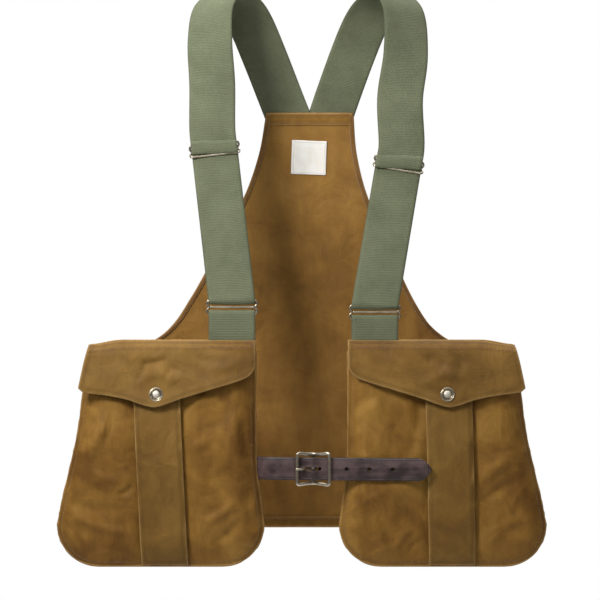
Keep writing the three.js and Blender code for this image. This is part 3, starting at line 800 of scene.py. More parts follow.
def make_label():
    """The plain cream label, set a little askew on the bib."""
    size, centre, turn = (40.5, 39.5), (8.5, -186.3), math.radians(2)
    c, s = math.cos(turn), math.sin(turn)

    def place(u, v):
        a, b = (u - 0.5) * size[0], (v - 0.5) * size[1]
        x, z = centre[0] + a * c + b * s, centre[1] - a * s + b * c
        curl = 0.5 * noise(x, z, 18, 31)
        return on_panel(across_of(x - panel_centre(z), z), z, 1.9 + curl)

    cloth = Sheet(place, 0.7)
    fit(cloth.build("label_cloth_piece", 36, 36, LABEL), "vest", "label")
    t = np.linspace(0.05, 0.95, 40)
    low, high, lift = 0.05, 0.95, 0.05
    rows = [cloth.at(t, low, lift), cloth.at(high, t, lift)]
    rows += [cloth.at(t, high, lift), cloth.at(low, t, lift)]
    stitches("label_thread", rows, "vest", CREAM_THREAD, pitch=2.4, length=1.7, width=0.5)


def make_rear():
    """What the back shows: the pouch, and the facing over the strap ends."""
    half, low, high, depth = 104, -612, -380, 12

    def place(u, v):
        x, z = mix(-half, half, u), mix(low, high, v)
        rise = np.sin(math.pi / 2 * np.clip((half - np.abs(x)) / 26, 0, 1)) ** 0.8
        rise = rise * np.sin(math.pi / 2 * np.clip((z - low) / 34, 0, 1)) ** 0.8
        sag = 1 + 0.25 * noise(x, z, 60, 41) + 0.12 * noise(x, z, 22, 42, 0.4, 2)
        out = CLOTH + 0.4 + depth * rise * sag
        return on_panel(across_of(x - panel_centre(z), z), z, 0 * x) + points(0 * x, out, 0 * x)

    pouch = Sheet(lambda u, v: place(1 - u, v))
    cloth = pouch.build("rear_pouch_cloth", 100, 104, CANVAS)
    fit(cloth, "vest", "rear_pouch")
    t = np.linspace(0.012, 0.988, 120)
    inset, lift = 0.018, 0.1
    rows = [pouch.at(inset, t, lift), pouch.at(1 - inset, t, lift)]
    rows += [pouch.at(t, v, lift) for v in (inset, 0.985, 0.935)]
    stitches("rear_pouch_thread", rows, "vest", THREAD)

    def facing_place(u, v):
        x = panel_centre(TOP) + mix(49, -49, u)
        z = mix(-170, TOP - 1, v)
        drape = 5.6 * np.exp(-(((x - panel_centre(TOP)) / 51) ** 14))
        return points(x, PANEL_Y + 1.9 + drape + 0.3 * noise(x, z, 20, 45), z)

    facing = Sheet(facing_place, 1.4)
    fit(facing.build("bib_facing_cloth", 60, 24, CANVAS), "vest", "bib_facing")
    t = np.linspace(0.03, 0.97, 60)
    rows = [facing.at(t, v, lift) for v in (0.07, 0.93)] + [facing.at(u, t, lift) for u in (0.028, 0.972)]
    stitches("bib_facing_thread", rows, "vest", RED_THREAD)


# ---- pockets ----
def pocket_span(z):
    """The distances of a pocket's inner and outer edges from the middle, round its lower corners."""
    below = np.clip(CORNER_TOP - z, 0, CORNER)
    cut = CORNER - np.sqrt(np.maximum(CORNER**2 - below**2, 0))
    return inner_edge(z) + cut, outer_edge(z) - cut


def pleat_centre(z, drift):
    """The pleat band's middle: it drifts sideways on its way down."""
    return PLEAT_X + drift * (PLEAT_TOP - z) / (PLEAT_TOP - PLEAT_FOOT)


# Wrinkles given one by one, as drawn_folds takes them, with x measured outward from the middle.
POCKET_FOLDS = {
    -1: [
        (242, -527, 217, -486, 9, 3.4), (222, -514, 213, -484, 5, -2.2), (204, -571, 189, -560, 4, -2.6),
        (252, -597, 195, -614, 5, 2.0), (262, -580, 200, -588, 6, -1.6), (84, -540, 80, -480, 16, 3.2),
        (66, -486, 56, -540, 6, -4.6), (104, -602, 76, -579, 5, 2.6), (62, -566, 51, -615, 6, -3.8),
        (118, -560, 98, -585, 5, 1.8), (128, -520, 100, -505, 6, 1.6), (96, -625, 70, -600, 5, -2.0),
        (230, -455, 196, -470, 7, 1.8), (120, -470, 84, -452, 6, 1.7), (232, -545, 205, -556, 6, 2.0),
    ],
    1: [
        (66, -440, 84, -480, 8, 3.0), (64, -424, 112, -446, 5, -2.2), (62, -476, 84, -462, 4, -1.9),
        (70, -470, 100, -500, 7, 2.2), (130, -455, 122, -520, 7, -2.0), (72, -588, 92, -636, 6, 2.8),
        (58, -575, 80, -600, 5, -2.2), (196, -560, 236, -530, 6, 2.4), (198, -582, 240, -556, 5, -2.0),
        (104, -632, 120, -612, 4, 1.8), (118, -640, 134, -622, 4, -1.6), (206, -470, 234, -452, 9, 2.2),
        (210, -620, 248, -596, 6, 2.0), (100, -560, 134, -574, 6, 1.8), (220, -500, 246, -520, 6, -1.8),
    ],
}
FLAP_FOLDS = {
    -1: [
        (184, -446, 174, -421, 4, -2.2), (178, -425, 152, -419, 4, -3.0), (154, -420, 138, -434, 5, -2.4),
        (146, -436, 138, -444, 6, 1.8), (132, -407, 98, -424, 5, -1.8), (124, -402, 58, -412, 4, -1.6),
        (168, -432, 150, -430, 6, 1.6), (100, -430, 70, -422, 6, 1.2), (228, -440, 200, -428, 8, 1.0),
    ],
    1: [
        (134, -400, 141, -424, 8, -2.8), (141, -422, 160, -427, 6, -2.4), (168, -404, 179, -432, 6, -2.0),
        (154, -434, 170, -440, 7, 1.9), (84, -410, 116, -420, 5, -1.5), (70, -430, 110, -440, 6, 1.1),
        (196, -408, 232, -414, 5, -1.2), (206, -436, 238, -430, 8, 1.0),
    ],
}


def pocket_rise(x, z, side):
    """How far the pocket's front stands forward of its seam."""
    inner, outer = pocket_span(z)
    from_side = np.minimum(x - inner, outer - x)
    depth = 8 + 10 * smoothstep(0, 100, MOUTH - z) - 9 * smoothstep(-520, POCKET_BOTTOM, z)
    edge = np.sin(math.pi / 2 * np.clip(from_side / 24, 0, 1)) ** 0.85
    foot = np.sin(math.pi / 2 * np.clip((z - POCKET_BOTTOM) / 34, 0, 1)) ** 0.85
    seed = 60 if side["sign"] < 0 else 80
    soft = 2.0 * noise(x, z, 58, seed, 0.5 * side["sign"], 1.8) + 1.1 * noise(x, z, 26, seed + 1, -0.6, 1.7)
    soft = soft + 0.45 * noise(x, z, 11, seed + 5, 0.7, 1.6)
    folds = 3.2 * crease(x, z, 42, seed + 2, 0.75 * side["sign"], 2.6)
    folds = folds * smoothstep(-0.3, 0.5, noise(x, z, 70, seed + 3))
    near = np.exp(-(((from_side - 9) / 9) ** 2))
    pulls = 1.5 * near * noise(x, z, 9, seed + 4, 1.35, 2.2)
    tuck = np.abs(x - pleat_centre(z, side["drift"])) - PLEAT_WIDTH / 2
    folds = folds * smoothstep(-6, 10, tuck)
    valley = 2.4 * np.exp(-((tuck / 7) ** 2))
    quiet = 0.1 + 0.9 * smoothstep(-6, 9, tuck)
    drawn = 1.2 * drawn_folds(x, z, POCKET_FOLDS[side["sign"]])
    return (depth + 0.5 * soft - valley + pulls + (0.5 * soft + folds + drawn) * quiet) * edge * foot


def pocket_place(side, top, forward, base):
    """A pocket-shaped surface from its foot to top, standing forward(x, z) in front of y = base."""

    def place(u, v):
        z = mix(POCKET_BOTTOM, top, np.clip(v, 0, 1) ** 1.6)
        inner, outer = pocket_span(z)
        x = mix(inner, outer, u if side["sign"] > 0 else 1 - u)
        cut = 4.8 * smoothstep(196, 236, x) ** 1.5 * smoothstep(POCKET_TOP - 30, POCKET_TOP, z)
        return points(side["sign"] * x, base - forward(x, z), z - cut)

    return place


def pocket_outline(side, inset, count=260, top=MOUTH):
    """x and z along a pocket's seam, from the top of its outer edge round to its inner edge."""
    z = top + (POCKET_BOTTOM + inset - top) * np.linspace(0, 1, count) ** 0.6
    below = np.clip((CORNER_TOP - z) / (CORNER - inset), 0, 1)
    cut = inset + (CORNER - inset) * (1 - np.sqrt(1 - below**2))
    outer = points(outer_edge(z) - cut, 0, z)
    inner = points(inner_edge(z) + cut, 0, z)[::-1]
    return np.concatenate([outer, inner])


def make_pocket(name, side):
    """A pocket's front, back, seam and pleat band."""
    sign = side["sign"]
    front = Sheet(pocket_place(side, MOUTH, lambda x, z: pocket_rise(x, z, side), FRONT_EDGE_Y))
    cloth = front.build(f"pocket_front_cloth_{name}", 112, 122, CANVAS)
    fit(cloth, "vest", f"pocket_front_{name}")

    back = Sheet(pocket_place(side, POCKET_TOP, lambda x, z: 0.5 * noise(x, z, 50, 90), POCKET_BACK_Y))
    # The pocket back uses the canvas copy painted lighter to offset the shade on it.
    lining = back.build(f"pocket_back_cloth_{name}", 60, 70, PAINTED_LIGHT_CANVAS)
    fit(lining, "vest", f"pocket_back_{name}")

    # The turned seam round the pocket: a soft welt, and a row of thread inside it.
    seam = pocket_outline(side, 0.6, top=POCKET_TOP - 12)
    seam[:, 0] *= sign
    seam[:, 1] = (POCKET_BACK_Y + FRONT_EDGE_Y) / 2 - 0.6
    walk = np.linspace(0, 1, len(seam))
    radius = 1.9 + 0.25 * noise(600 * walk, 0 * walk, 7, 95)
    welt = new_object(f"pocket_welt_{name}", *tube(seam, radius, (0, 1, 0), sides=10), CANVAS)
    fit(welt, "vest")
    row = pocket_outline(side, 4.5, top=POCKET_TOP - 30)
    height = FRONT_EDGE_Y - pocket_rise(row[:, 0], row[:, 2], side) - CLOTH / 2 - 0.25
    path = points(sign * row[:, 0], height, row[:, 2])
    normal = np.tile((0.0, -1.0, 0.0), (len(path), 1))
    stitches(f"pocket_thread_{name}", [(path, normal)], "vest", THREAD)

    # The pleat: a folded band standing a little proud of the pocket.
    low = POCKET_BOTTOM + 1.5

    def pleat_place(u, v):
        z = mix(low, PLEAT_TOP, v)
        offset = PLEAT_WIDTH * (u - 0.5)
        x = pleat_centre(z, side["drift"]) + sign * offset
        far = np.abs(2 * u - 1)
        smooth_front = np.maximum.reduce([pocket_rise(x + shift, z, side) for shift in (-9, 0, 9)])
        proud = (3.4 - 2.2 * far**8) * smoothstep(low - 6, low + 26, z) + 0.9
        ripple = 0.5 * noise(x, z, 24, 97, 0.2, 2.5)
        return points(sign * x, FRONT_EDGE_Y - smooth_front - CLOTH / 2 - proud - ripple, z)

    band = Sheet(pleat_place)
    strip = band.build(f"pocket_pleat_cloth_{name}", 34, 110, FOLDED_CANVAS)
    fit(strip, "vest", f"pocket_pleat_{name}")


# ---- flaps ----
FLAP_INNER, FLAP_OUTER, FLAP_HEIGHT = 53, 249, 57
CORNER_CUT = 4.5
flap_low = through(
    (53, -429), (57, -436), (66, -442), (104, -454), (134, -463.5), (150, -469.5), (162, -472.5),
    (175, -470), (192, -464.5), (218, -459.5), (243, -456), (249, -452),
)


def flap_sides(drop):
    """The flap's inner and outer edges at a distance below its top: it widens outward."""
    return 52 + drop / FLAP_HEIGHT, 238 + 11 * drop / FLAP_HEIGHT


def flap_forward(drop):
    """How far the flap stands out at a distance below its top: it rolls over, then leans."""
    return 9 * (1 - np.exp(-((np.maximum(drop, 0) / 6) ** 1.3))) + FLAP_LEAN * drop


def make_flap(name, side):
    """A flap with its top seam's threads, and the box sewn over the anchor web."""
    sign = side["sign"]
    seed = 110 if sign < 0 else 130

    def place(u, v):
        t = u if sign > 0 else 1 - u
        base = mix(FLAP_INNER, FLAP_OUTER, t)
        z = mix(flap_low(base), POCKET_TOP, np.clip(v, 0, 1))
        drop = POCKET_TOP - z
        cut = CORNER_CUT * smoothstep(200, 242, base) ** 1.5 * (1 - smoothstep(0, 30, drop))
        x = mix(*flap_sides(drop), t)
        top = 0.8 * smoothstep(0, 25, drop)
        waves = 1.3 * noise(x, z, 38, seed, 1.2 * sign, 2.4) + 0.7 * noise(x, z, 15, seed + 1, 1.3, 2.6)
        waves = top * waves
        ring = np.hypot(x - SNAP_X, (z - SNAP_Z) * 1.1)
        pucker = 2.0 * np.exp(-(((ring - 24) / 7) ** 2)) * smoothstep(SNAP_Z + 4, SNAP_Z + 22, z)
        dimple = -1.2 * np.exp(-((ring / 11) ** 2)) + drawn_folds(x, z, FLAP_FOLDS[sign]) * top
        band = 0.45 * (1 - smoothstep(9.5, 11.2, drop))
        curl = 1.2 * smoothstep(14, 2, z - flap_low(x)) * noise(x, z, 30, seed + 2)
        forward = flap_forward(drop) + waves + pucker * top + dimple + band + curl
        wavy = (0.3 * noise(x, 0 * z, 30, seed + 3) - 0.7) * (1 - smoothstep(0, 6, drop))
        return points(sign * x, FLAP_Y - forward, z + wavy - cut)

    flap = Sheet(place)
    rows = 1 - np.linspace(0, 1, 58) ** 1.35
    cloth = flap.build(f"flap_cloth_{name}", 120, rows[::-1], FOLDED_CANVAS)
    body = f"flap_{name}"
    fit(cloth, body, f"flap_{name}")

    def v_of(drop, u):
        t = u if sign > 0 else 1 - u
        return 1 - drop / (POCKET_TOP - flap_low(mix(FLAP_INNER, FLAP_OUTER, t)))

    u = np.linspace(0.012, 0.988, 160)
    rows = [flap.at(u, v_of(drop, u), 0.02) for drop in (3.4, 8.8)]
    stitches(f"flap_top_thread_{name}", rows, body, RED_THREAD)

    box_half = 24
    box_x = side["ring"][0] + box_half * np.array([-1, 1, 1, -1, -1])
    box_drop = np.array([4.4, 4.4, 7.9, 7.9, 4.4])
    k = np.linspace(0, 4, 90)
    xs, drops = np.interp(k, range(5), box_x), np.interp(k, range(5), box_drop)
    inner, outer = flap_sides(drops)
    t = (np.abs(xs) - inner) / (outer - inner)
    uu = t if sign > 0 else 1 - t
    stitches(f"flap_box_thread_{name}", [flap.at(uu, v_of(drops, uu), 0.1)], body, RED_THREAD)


# ---- snaps: turned profiles of (radius, height) ----
SNAP_BEADS = 8
SNAP_CAP = [
    (0, 0), (7.6, 0), (8.1, 0.4), (8.1, 0.9), (7.7, 1.5), (7.1, 1.7), (6.6, 1.2), (6.4, 0.8), (0, 0.8),
]
SNAP_RING = [(0, 0.2), (7.1, 0.2), (7.2, 1.1), (6.5, 1.5), (5.4, 1.55), (4.6, 1.0), (4.2, 0.7), (0, 0.7)]
SNAP_DOME = [(0, 0.3), (4.2, 0.3), (4.3, 1.2), (4.0, 1.9), (3.4, 2.3), (2.4, 2.55), (1.2, 2.65), (0, 2.7)]
SNAP_SOCKET = [(3.5, 0), (6.2, 0), (6.5, 0.3), (6.5, 2.1), (6.2, 2.4), (3.8, 2.4), (3.5, 2.1), (3.5, 0)]
SNAP_STUD = [
    (0, 0), (5.7, 0), (6, 0.3), (5.8, 0.8), (3.2, 1.3), (2.4, 2.0), (2.2, 3.0), (2.6, 3.6), (2.3, 4.1),
    (0, 4.3),
]


def make_snap(name, side):
    """The snap's cap, ring, dome and socket on the flap, and its stud on the pleat band."""
    sign = side["sign"]
    drop = POCKET_TOP - SNAP_Z
    flap_y = FLAP_Y - flap_forward(drop)
    lean = unit(np.array([0, -1, FLAP_LEAN]))
    up = unit(np.array([0, FLAP_LEAN, 1]))
    right = np.array([1.0, 0, 0])

    seat = (sign * SNAP_X, flap_y - CLOTH / 2 + 0.9, SNAP_Z)
    beads = []
    bead_ring, bead_radius = 5.9, 0.5
    for turn in np.linspace(0, 2 * math.pi, SNAP_BEADS, endpoint=False):
        sweep = turn + np.linspace(-0.2, 0.2, 6)
        path = points(bead_ring * np.cos(sweep), bead_ring * np.sin(sweep), 1.4)
        beads.append(tube(path, bead_radius, (0, 0, 1), sides=8))
    shapes = {
        "cap": (lathe(SNAP_CAP), NICKEL),
        "ring": (join(lathe(SNAP_RING), *beads), OXIDE),
        "dome": (lathe(SNAP_DOME), DOME),
    }
    for part, (shape, metal) in shapes.items():
        made = new_object(f"snap_{part}_metal_{name}", *placed(shape, seat, right, up, lean), metal)
        fit(made, f"flap_{name}", f"snap_cap_{name}")

    socket = placed(
        lathe(SNAP_SOCKET), (sign * SNAP_X, flap_y + CLOTH / 2 + 2.9, SNAP_Z - 0.4), right, up, lean
    )
    made = new_object(f"snap_socket_metal_{name}", *socket, NICKEL)
    fit(made, f"flap_{name}", f"snap_socket_{name}")

    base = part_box(f"snap_stud_{name}")[1].y / MM
    stud = placed(lathe(SNAP_STUD, 32), (sign * SNAP_X, base, SNAP_Z), right, (0, 0, 1), (0, -1, 0))
    fit(new_object(f"snap_stud_metal_{name}", *stud, NICKEL), "vest", f"snap_stud_{name}")


# ---- webbing ----
X_AXIS = (1.0, 0.0, 0.0)
ANCHOR_FOOT = -413
# Stops of (x, y, z, width direction) from above the slider, over the shoulder, to the bib.
OVER_SHOULDER = {
    "left": [
        (-102, -22, -108, 1, 0, 0), (-105, -14, -56, 0.98, -0.2, 0), (-101, -2, -17, 0.9, -0.43, 0),
        (-86, 14, -1, 0.8, -0.6, 0), (-70, 30, -13, 0.82, -0.5, 0.28), (-58, 40, -35, 0.9, -0.15, 0.4),
        (-43, 50, -70, 0.92, 0, 0.38), (-20, 62.3, -128, 0.92, 0, 0.38), (-8, 62.3, -158, 0.92, 0, 0.38),
    ],
    "right": [
        (112, -22, -125, 1, 0, 0), (119, -14, -72, 0.98, 0.2, 0), (116, -2, -19, 0.9, 0.43, 0),
        (101, 14, -1, 0.8, 0.6, 0), (85, 31, -13, 0.82, 0.5, -0.25), (73, 42, -35, 0.92, 0.15, -0.32),
        (60, 52, -66, 0.95, 0, -0.3), (37.5, 64.8, -128, 0.95, 0, -0.3), (28, 64.8, -158, 0.95, 0, -0.3),
    ],
}


def web_sheet(stops, width=WEB_WIDTH, thickness=WEB, bow=0.0, dense=8):
    """Webbing along stops of (x, y, z, width direction): the middle bows forward by bow."""
    stops = np.array(stops, float)
    path, where = spline(stops[:, :3], per_span=dense)
    hints = np.stack([np.interp(where, np.arange(len(stops)), stops[:, 3 + k]) for k in range(3)], -1)
    along = tangents(path)
    across = unit(hints - (hints * along).sum(-1, keepdims=True) * along)
    facing = np.cross(across, along)
    walk = np.concatenate([[0], np.linalg.norm(np.diff(path, axis=0), axis=1).cumsum()])
    share = walk / walk[-1]

    def look(values, v):
        return np.stack([np.interp(v, share, values[:, k]) for k in range(3)], -1)

    def place(u, v):
        side = (u - 0.5)[..., None]
        cup = bow * (1 - (2 * (u - 0.5)) ** 2)[..., None]
        return look(path, v) + look(across, v) * side * width + look(facing, v) * cup

    sheet = Sheet(place, thickness)
    sheet.length = walk[-1]
    return sheet


def strap_frame(side):
    """The straight front run: its foot at the ring, its head at the slider, and its directions."""
    ring_x, ring_z = side["ring"]
    foot = np.array([ring_x, POCKET_BACK_Y - LOOP, ring_z + BAR_PITCH])
    head = np.array(side["slider"], float)
    up = unit(head - foot)
    across = unit(np.array(X_AXIS) - up[0] * up)
    return foot, head, up, across, np.cross(across, up)


def half_turn(centre, start, sweep=math.pi, count=6):
    """Stops of webbing turned round a bar along X, from a start angle measured from -Y towards +Z."""
    x, y, z = centre
    angles = start + sweep * np.linspace(0, 1, count + 1)
    return [(x, y - LOOP * math.cos(a), z + LOOP * math.sin(a), *X_AXIS) for a in angles]


def make_webbing(name, side):
    """One side's strap, the return web behind it, the anchor web, and the slider's webbing."""
    foot, head, up, across, front = strap_frame(side)
    ring_x, ring_z = side["ring"]
    hairpin = half_turn((ring_x, POCKET_BACK_Y, ring_z + BAR_PITCH), -math.pi)
    straight = [(*mix(foot, head, t), *X_AXIS) for t in (0.05, 0.35, 0.7, 1, 1.12)]
    web = web_sheet([*hairpin, *straight, *OVER_SHOULDER[name]], bow=0.7)
    rows = int(web.length / 2.2)
    made = web.build(f"shoulder_webbing_{name}", 16, rows, WEBBING)
    fit(made, "vest", f"shoulder_web_{name}")

    run = np.linalg.norm(head - foot)
    behind = foot - front * RETURN_DEPTH
    reach = run - 5
    stops = [(*(behind + up * mix(1.5, reach, t)), *X_AXIS) for t in (0, 0.25, 0.5, 0.75, 1)]
    made = web_sheet(stops).build(f"return_webbing_{name}", 12, 70, WEBBING)
    fit(made, "vest", f"return_web_{name}")
    tuple(up)
    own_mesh(made)

    low_bar = ring_z - BAR_PITCH
    turn = half_turn((ring_x, POCKET_BACK_Y, low_bar), math.pi, -math.pi)
    heights = (ANCHOR_FOOT, mix(ANCHOR_FOOT, low_bar, 0.6))
    back_leg = [(ring_x, POCKET_BACK_Y + LOOP, z, *X_AXIS) for z in heights]
    front_leg = [(x, POCKET_BACK_Y - LOOP, z, *r) for x, _, z, *r in back_leg[::-1]]
    anchor = web_sheet([*back_leg, *turn, *front_leg], thickness=1.7, dense=10)
    fit(anchor.build(f"anchor_webbing_{name}", 16, 60, WEBBING), "vest", f"anchor_web_{name}")

    # The slider's sewn loop, and the swell of the running web over its bars.
    def local(y, z):
        return (*(head + up * y + front * z), *X_AXIS)

    tail = -17
    loop = [local(tail, -RETURN_DEPTH - LOOP), local(tail * 0.4, -RETURN_DEPTH - LOOP)]
    loop += [
        local(LOOP * math.sin(a), -RETURN_DEPTH - LOOP * math.cos(a))
        for a in np.linspace(0, math.pi, 7)
    ]
    loop += [local(tail * 0.4, -RETURN_DEPTH + LOOP), local(tail, -RETURN_DEPTH + LOOP)]
    end_loop = web_sheet(loop, width=47.4)
    made = end_loop.build(f"slider_webbing_loop_{name}", 12, 50, WEBBING)
    body = f"slider_{name}"
    fit(made, body, f"slider_web_end_{name}")
    t = np.linspace(0.06, 0.94, 30)
    rows = [end_loop.at(t, v, 0.1) for v in (0.04, 0.1)]
    stitches(f"slider_loop_thread_{name}", rows, body, CREAM_THREAD, pitch=2.6, length=1.9)

    profile = [(-5.3, 1.6), (-4.2, 3.1), (-1.0, 4.2), (3.2, 4.5), (6.6, 4.0), (8.3, 2.7), (8.5, 1.5)]
    swell = web_sheet([local(y, z) for y, z in profile], width=WEB_WIDTH + 0.6, thickness=1.6, bow=0.7)
    fit(swell.build(f"slider_webbing_swell_{name}", 16, 26, WEBBING), body)


# ---- sliders and rings ----
FRAME_HALF, PINCH = 28, 25.8


def bar_frame(depths):
    """The bent wire frame of a ring or slider: depths are those of its low, middle and high bars."""
    low, middle, high = depths

    def corner(up, depth):
        return [
            (FRAME_HALF, up * 3.6, mix(middle, depth, 0.5)),
            (FRAME_HALF - 1.4, up * BAR_PITCH, depth),
            (FRAME_HALF - 9, up * BAR_PITCH, depth),
        ]

    def mirrored(stops):
        return [(-x, y, z) for x, y, z in stops]

    quarter = [(PINCH, 0, middle), *corner(1, high)]
    under = corner(-1, low)
    stops = [*quarter, *mirrored(quarter[::-1]), *mirrored(under), *under[::-1]]
    path, _ = spline(stops, closed=True, per_span=8)
    return tube(path, WIRE, (0, 0, 1), closed=True)


def middle_bar(depth=0.0):
    """The middle bar of a ring or slider, with a collar at each end."""
    reach, bar_radius, collar_radius, collar = PINCH - WIRE - 0.1, WIRE * 1.15, 1.7, 1.6
    bar = tube(points(np.linspace(-reach, reach, 21), 0, depth), bar_radius, (0, 0, 1))
    collars = [
        tube(points(end * (reach - np.linspace(0, collar, 5)), 0, depth), collar_radius, (0, 0, 1))
        for end in (-1, 1)
    ]
    return join(bar, *collars)


def make_hardware(name, side):
    """One side's ring and slider."""
    ring_x, ring_z = side["ring"]
    at_ring = ((ring_x, POCKET_BACK_Y, ring_z), (1, 0, 0), (0, 0, 1), (0, -1, 0))
    _, head, up, across, front = strap_frame(side)
    at_slider = (head, across, up, front)
    made_of = {
        f"ring_frame_{name}": (bar_frame((0, 0, 0)), at_ring, f"ring_{name}"),
        f"ring_bar_{name}": (middle_bar(), at_ring, f"ring_{name}"),
        f"slider_frame_{name}": (bar_frame((2.6, -RETURN_DEPTH, -2.6)), at_slider, f"slider_{name}"),
        f"slider_bar_{name}": (middle_bar(-RETURN_DEPTH), at_slider, f"slider_{name}"),
    }
    for node_name, (shape, where, body) in made_of.items():
        made = new_object(node_name.replace("_", "_wire_", 1), *placed(shape, *where), NICKEL)
        fit(made, body, node_name)


# ---- buckle and leather strap ----
BAR_X, BAR_Y = 12.8, -65.3
BUCKLE_HALF, BUCKLE_HEIGHT = 18, 16.2
BILLET_START, BILLET_TIP = (-49, -66.3), (144, -86.2)
SLOPE = (BILLET_TIP[1] - BILLET_START[1]) / (BILLET_TIP[0] - BILLET_START[0])


def billet_y(x):
    """The straight slope of the leather strap's middle, from the left pocket to its tip."""
    return BILLET_START[1] + SLOPE * (x - BILLET_START[0])


def side_depth(x):
    """How far in front of the centre bar the frame has to stand to clear the leather."""
    room, bar = 1.3, 2
    return BAR_Y - (billet_y(BAR_X + x) - BILLET / 2 - room - bar)


def make_buckle():
    """The waisted buckle frame with its centre bar, and the prong."""
    left, right = side_depth(-BUCKLE_HALF), side_depth(BUCKLE_HALF)
    waist, corner = 16.1, BUCKLE_HEIGHT - 1
    over = [
        (BUCKLE_HALF, 0, right), (BUCKLE_HALF, corner - 4, right),
        (BUCKLE_HALF - 1, corner + 1.6, right), (8, BUCKLE_HEIGHT + 0.2, 0.6 * right),
        (0, waist, 3.5), (-8, BUCKLE_HEIGHT + 0.2, 0.6 * left),
        (-BUCKLE_HALF + 1, corner + 1.6, left), (-BUCKLE_HALF, corner - 4, left),
    ]
    under = [(-BUCKLE_HALF, 0, left), *((x, -y, z) for x, y, z in over[:0:-1])]
    path, _ = spline(over + under, closed=True, per_span=7)
    ring = tube(path, 2.0, (0, 0, 1), closed=True, sides=16, flatten=0.85)
    post_y = np.linspace(-waist, waist, 12)
    bar = tube(points(0, post_y, 0), 2.0, (0, 0, 1), sides=14)
    posts = [
        tube(points(0, end * waist, np.linspace(-0.4, 3.9, 6)), 1.9, (0, 1, 0), sides=12)
        for end in (-1, 1)
    ]
    where = ((BAR_X, BAR_Y, BILLET_Z), (1, 0, 0), (0, 0, 1), (0, -1, 0))
    made = new_object("buckle_metal", *placed(join(ring, bar, *posts), *where), NICKEL)
    fit(made, "buckle", "buckle_frame")

    tip = left + 2 + 1.4 + 0.3
    turn = np.linspace(0, 2 * math.pi, 28, endpoint=False)
    eye_ring, eye_radius = 3.7, 1.3
    circle = points(eye_ring * np.cos(turn), 0, eye_ring * np.sin(turn))
    eye = tube(circle, eye_radius, (0, 1, 0), closed=True, sides=10)
    shaft_stops = [
        (-2.6, 0, 2.6), (-6, 0, 5.4), (-13, 0, tip - 2.2), (-BUCKLE_HALF, 0, tip),
        (-BUCKLE_HALF - 1.8, 0, tip - 0.4),
    ]
    shaft_path, _ = spline(shaft_stops)
    taper = np.interp(np.linspace(0, 1, len(shaft_path)), [0, 0.8, 1], [1.5, 1.35, 0.9])
    shaft = tube(shaft_path, taper, (0, 1, 0), sides=12)
    made = new_object("prong_metal", *placed(join(eye, shaft), *where), NICKEL)
    fit(made, "prong", "buckle_prong")


# The leather strap, flat: x along it, z across it, and the middles of its three holes.
BILLET_LOW, POINT_LENGTH = -60.0, 17.5
HOLES, HOLE_RADIUS = (50, 75, 101), 1.8
SLOT_LOW, SLOT_HIGH, SLOT_RADIUS = 2.4, 20.0, 2.0
ROUNDING = 0.5
TUCKED = through((-60, -54.5), (-52, -56.5), (-46, -60.5), (-38, -65.0), (-26, -68.4), (-8, -70.6))


def billet_loops():
    """Closed outlines of (x, z): the strap with its pointed tip, its holes, and the prong's slot."""
    half = BILLET_WIDTH / 2
    t = np.linspace(0, 1, 14)
    nose_x = BILLET_TIP[0] - POINT_LENGTH * (1 - t)
    nose_z = half * (1 - t**2.4) ** 0.85
    upper = list(zip(nose_x, nose_z))
    lower = [(x, -z) for x, z in upper[-2::-1]]
    yield [(BILLET_LOW, -half), (BILLET_LOW, half), *upper, *lower]
    circle = np.linspace(0, 2 * math.pi, 20, endpoint=False)
    for hole in HOLES:
        yield [(hole + HOLE_RADIUS * math.cos(a), HOLE_RADIUS * math.sin(a)) for a in circle]
    slot = []
    for a in circle + 0.01:
        end = SLOT_HIGH if math.cos(a) > 0 else SLOT_LOW
        slot.append((end + SLOT_RADIUS * math.cos(a), SLOT_RADIUS * math.sin(a)))
    yield slot


def cut_leather():
    """The flat strap as a mesh with rounded edges, divided finely enough to bend."""
    curve = bpy.data.curves.new("billet_outline", "CURVE")
    curve.dimensions = "2D"
    curve.fill_mode = "BOTH"
    curve.extrude = (BILLET / 2 - ROUNDING) * MM
    curve.bevel_depth = ROUNDING * MM
    curve.bevel_resolution = 2
    curve.offset = -ROUNDING * MM
    for loop in billet_loops():
        line = curve.splines.new("POLY")
        line.points.add(len(loop) - 1)
        for corner, (x, z) in zip(line.points, loop):
            corner.co = (x * MM, z * MM, 0, 1)
        line.use_cyclic_u = True
    carrier = bpy.data.objects.new("billet_outline", curve)
    bpy.context.scene.collection.objects.link(carrier)
    graph = bpy.context.evaluated_depsgraph_get()
    mesh = bpy.data.meshes.new_from_object(carrier.evaluated_get(graph))
    bpy.data.objects.remove(carrier)

    work = bmesh.new()
    work.from_mesh(mesh)
    bmesh.ops.remove_doubles(work, verts=work.verts, dist=1e-6)
    across = [((x, 0, 0), (1, 0, 0)) for x in np.arange(BILLET_LOW + 2, BILLET_TIP[0], 2.5)]
    along = [((0, z, 0), (0, 1, 0)) for z in np.linspace(-11.9, 11.9, 18)]
    for place, normal in across + along:
        everything = work.verts[:] + work.edges[:] + work.faces[:]
        bmesh.ops.bisect_plane(work, geom=everything, plane_co=Vector(place) * MM, plane_no=normal)
    return mesh, work


def billet_front(x, z):
    """The bent strap's middle at x: tucked behind the pocket, over the centre bar, flat to the tip."""
    y = billet_y(x) if x > -8 else float(TUCKED(x))
    hump = 2.1 * math.exp(-(((x - 11.5) / 6) ** 2)) - 0.9 * math.exp(-(((x + 3) / 4) ** 2))
    crown = 0.9 - 0.75 * math.exp(-(((x - BAR_X) / 25) ** 6))
    return y - hump - crown * (1 - (z / (BILLET_WIDTH / 2)) ** 2)


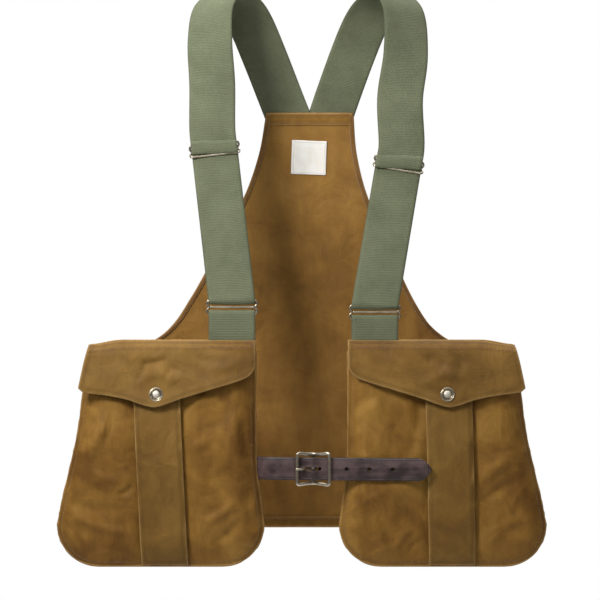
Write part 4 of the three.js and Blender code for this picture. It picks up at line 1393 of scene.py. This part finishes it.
def make_billet():
    """The leather strap: cut from a flat outline with its holes, then bent along its length."""
    mesh, work = cut_leather()
    edges, hole_shades = [], []
    for vertex in work.verts:
        x, z, depth = vertex.co / MM
        to_tip = (BILLET_TIP[0] - x) * 0.8
        to_hole = min(math.hypot(x - hole, z) - HOLE_RADIUS for hole in HOLES)
        edges.append(max(0.0, min(BILLET_WIDTH / 2 - abs(z), to_tip)))
        # Painted shade round each hole: strongest at its rim, fading within about a millimetre.
        hole_shades.append(math.exp(-((max(to_hole, 0.0) / 0.9) ** 2)))
        vertex.co = Vector((x, billet_front(x, z) - depth, BILLET_Z + z)) * MM
    bmesh.ops.recalc_face_normals(work, faces=work.faces)
    work.to_mesh(mesh)
    work.free()
    for key, values in (("edge", edges), ("rim", hole_shades)):
        layer = mesh.attributes.new(key, "FLOAT", "POINT")
        layer.data.foreach_set("value", np.array(values, np.float32))
    mesh.polygons.foreach_set("use_smooth", [True] * len(mesh.polygons))
    mesh.materials.clear()
    mesh.materials.append(LEATHER)
    made = bpy.data.objects.new("billet_leather", mesh)
    bpy.context.scene.collection.objects.link(made)
    fit(made, "vest", "billet_strap")


def make_chape():
    """The chape: folded round the centre bar in two legs, above and below the prong, and one behind."""
    loop_radius = 3.3
    rear, front = BAR_Y + loop_radius, BAR_Y - loop_radius
    bend = [
        (BAR_X - loop_radius * math.sin(a), BAR_Y + loop_radius * math.cos(a))
        for a in np.linspace(0, math.pi, 9)
    ]
    behind = [(53, -60.6), (38, -61.4), (24, rear)]
    folded = [*behind, *bend, (24, front), (38, -68.4), (53, -67)]
    legs = {
        "lower": (folded, -7.2, 7.6, 2.0),
        "upper": (folded, 7.2, 7.6, 2.0),
        "middle": ([*behind, (19.4, rear)], 0, 7.0, 1.9),
    }
    for part, (route, height, width, thickness) in legs.items():
        stops = [(x, y, BILLET_Z + height, 0, 0, 1) for x, y in route]
        leg = web_sheet(stops, width, thickness, dense=6)
        fit(leg.build(f"chape_leather_{part}", 8, 70, LEATHER), "vest", "chape_strap")


make_back_panel()
make_label()
make_rear()
for side_name, side_facts in SIDES.items():
    make_pocket(side_name, side_facts)
    make_flap(side_name, side_facts)
    make_snap(side_name, side_facts)
    make_webbing(side_name, side_facts)
    make_hardware(side_name, side_facts)
make_buckle()
make_billet()
make_chape()
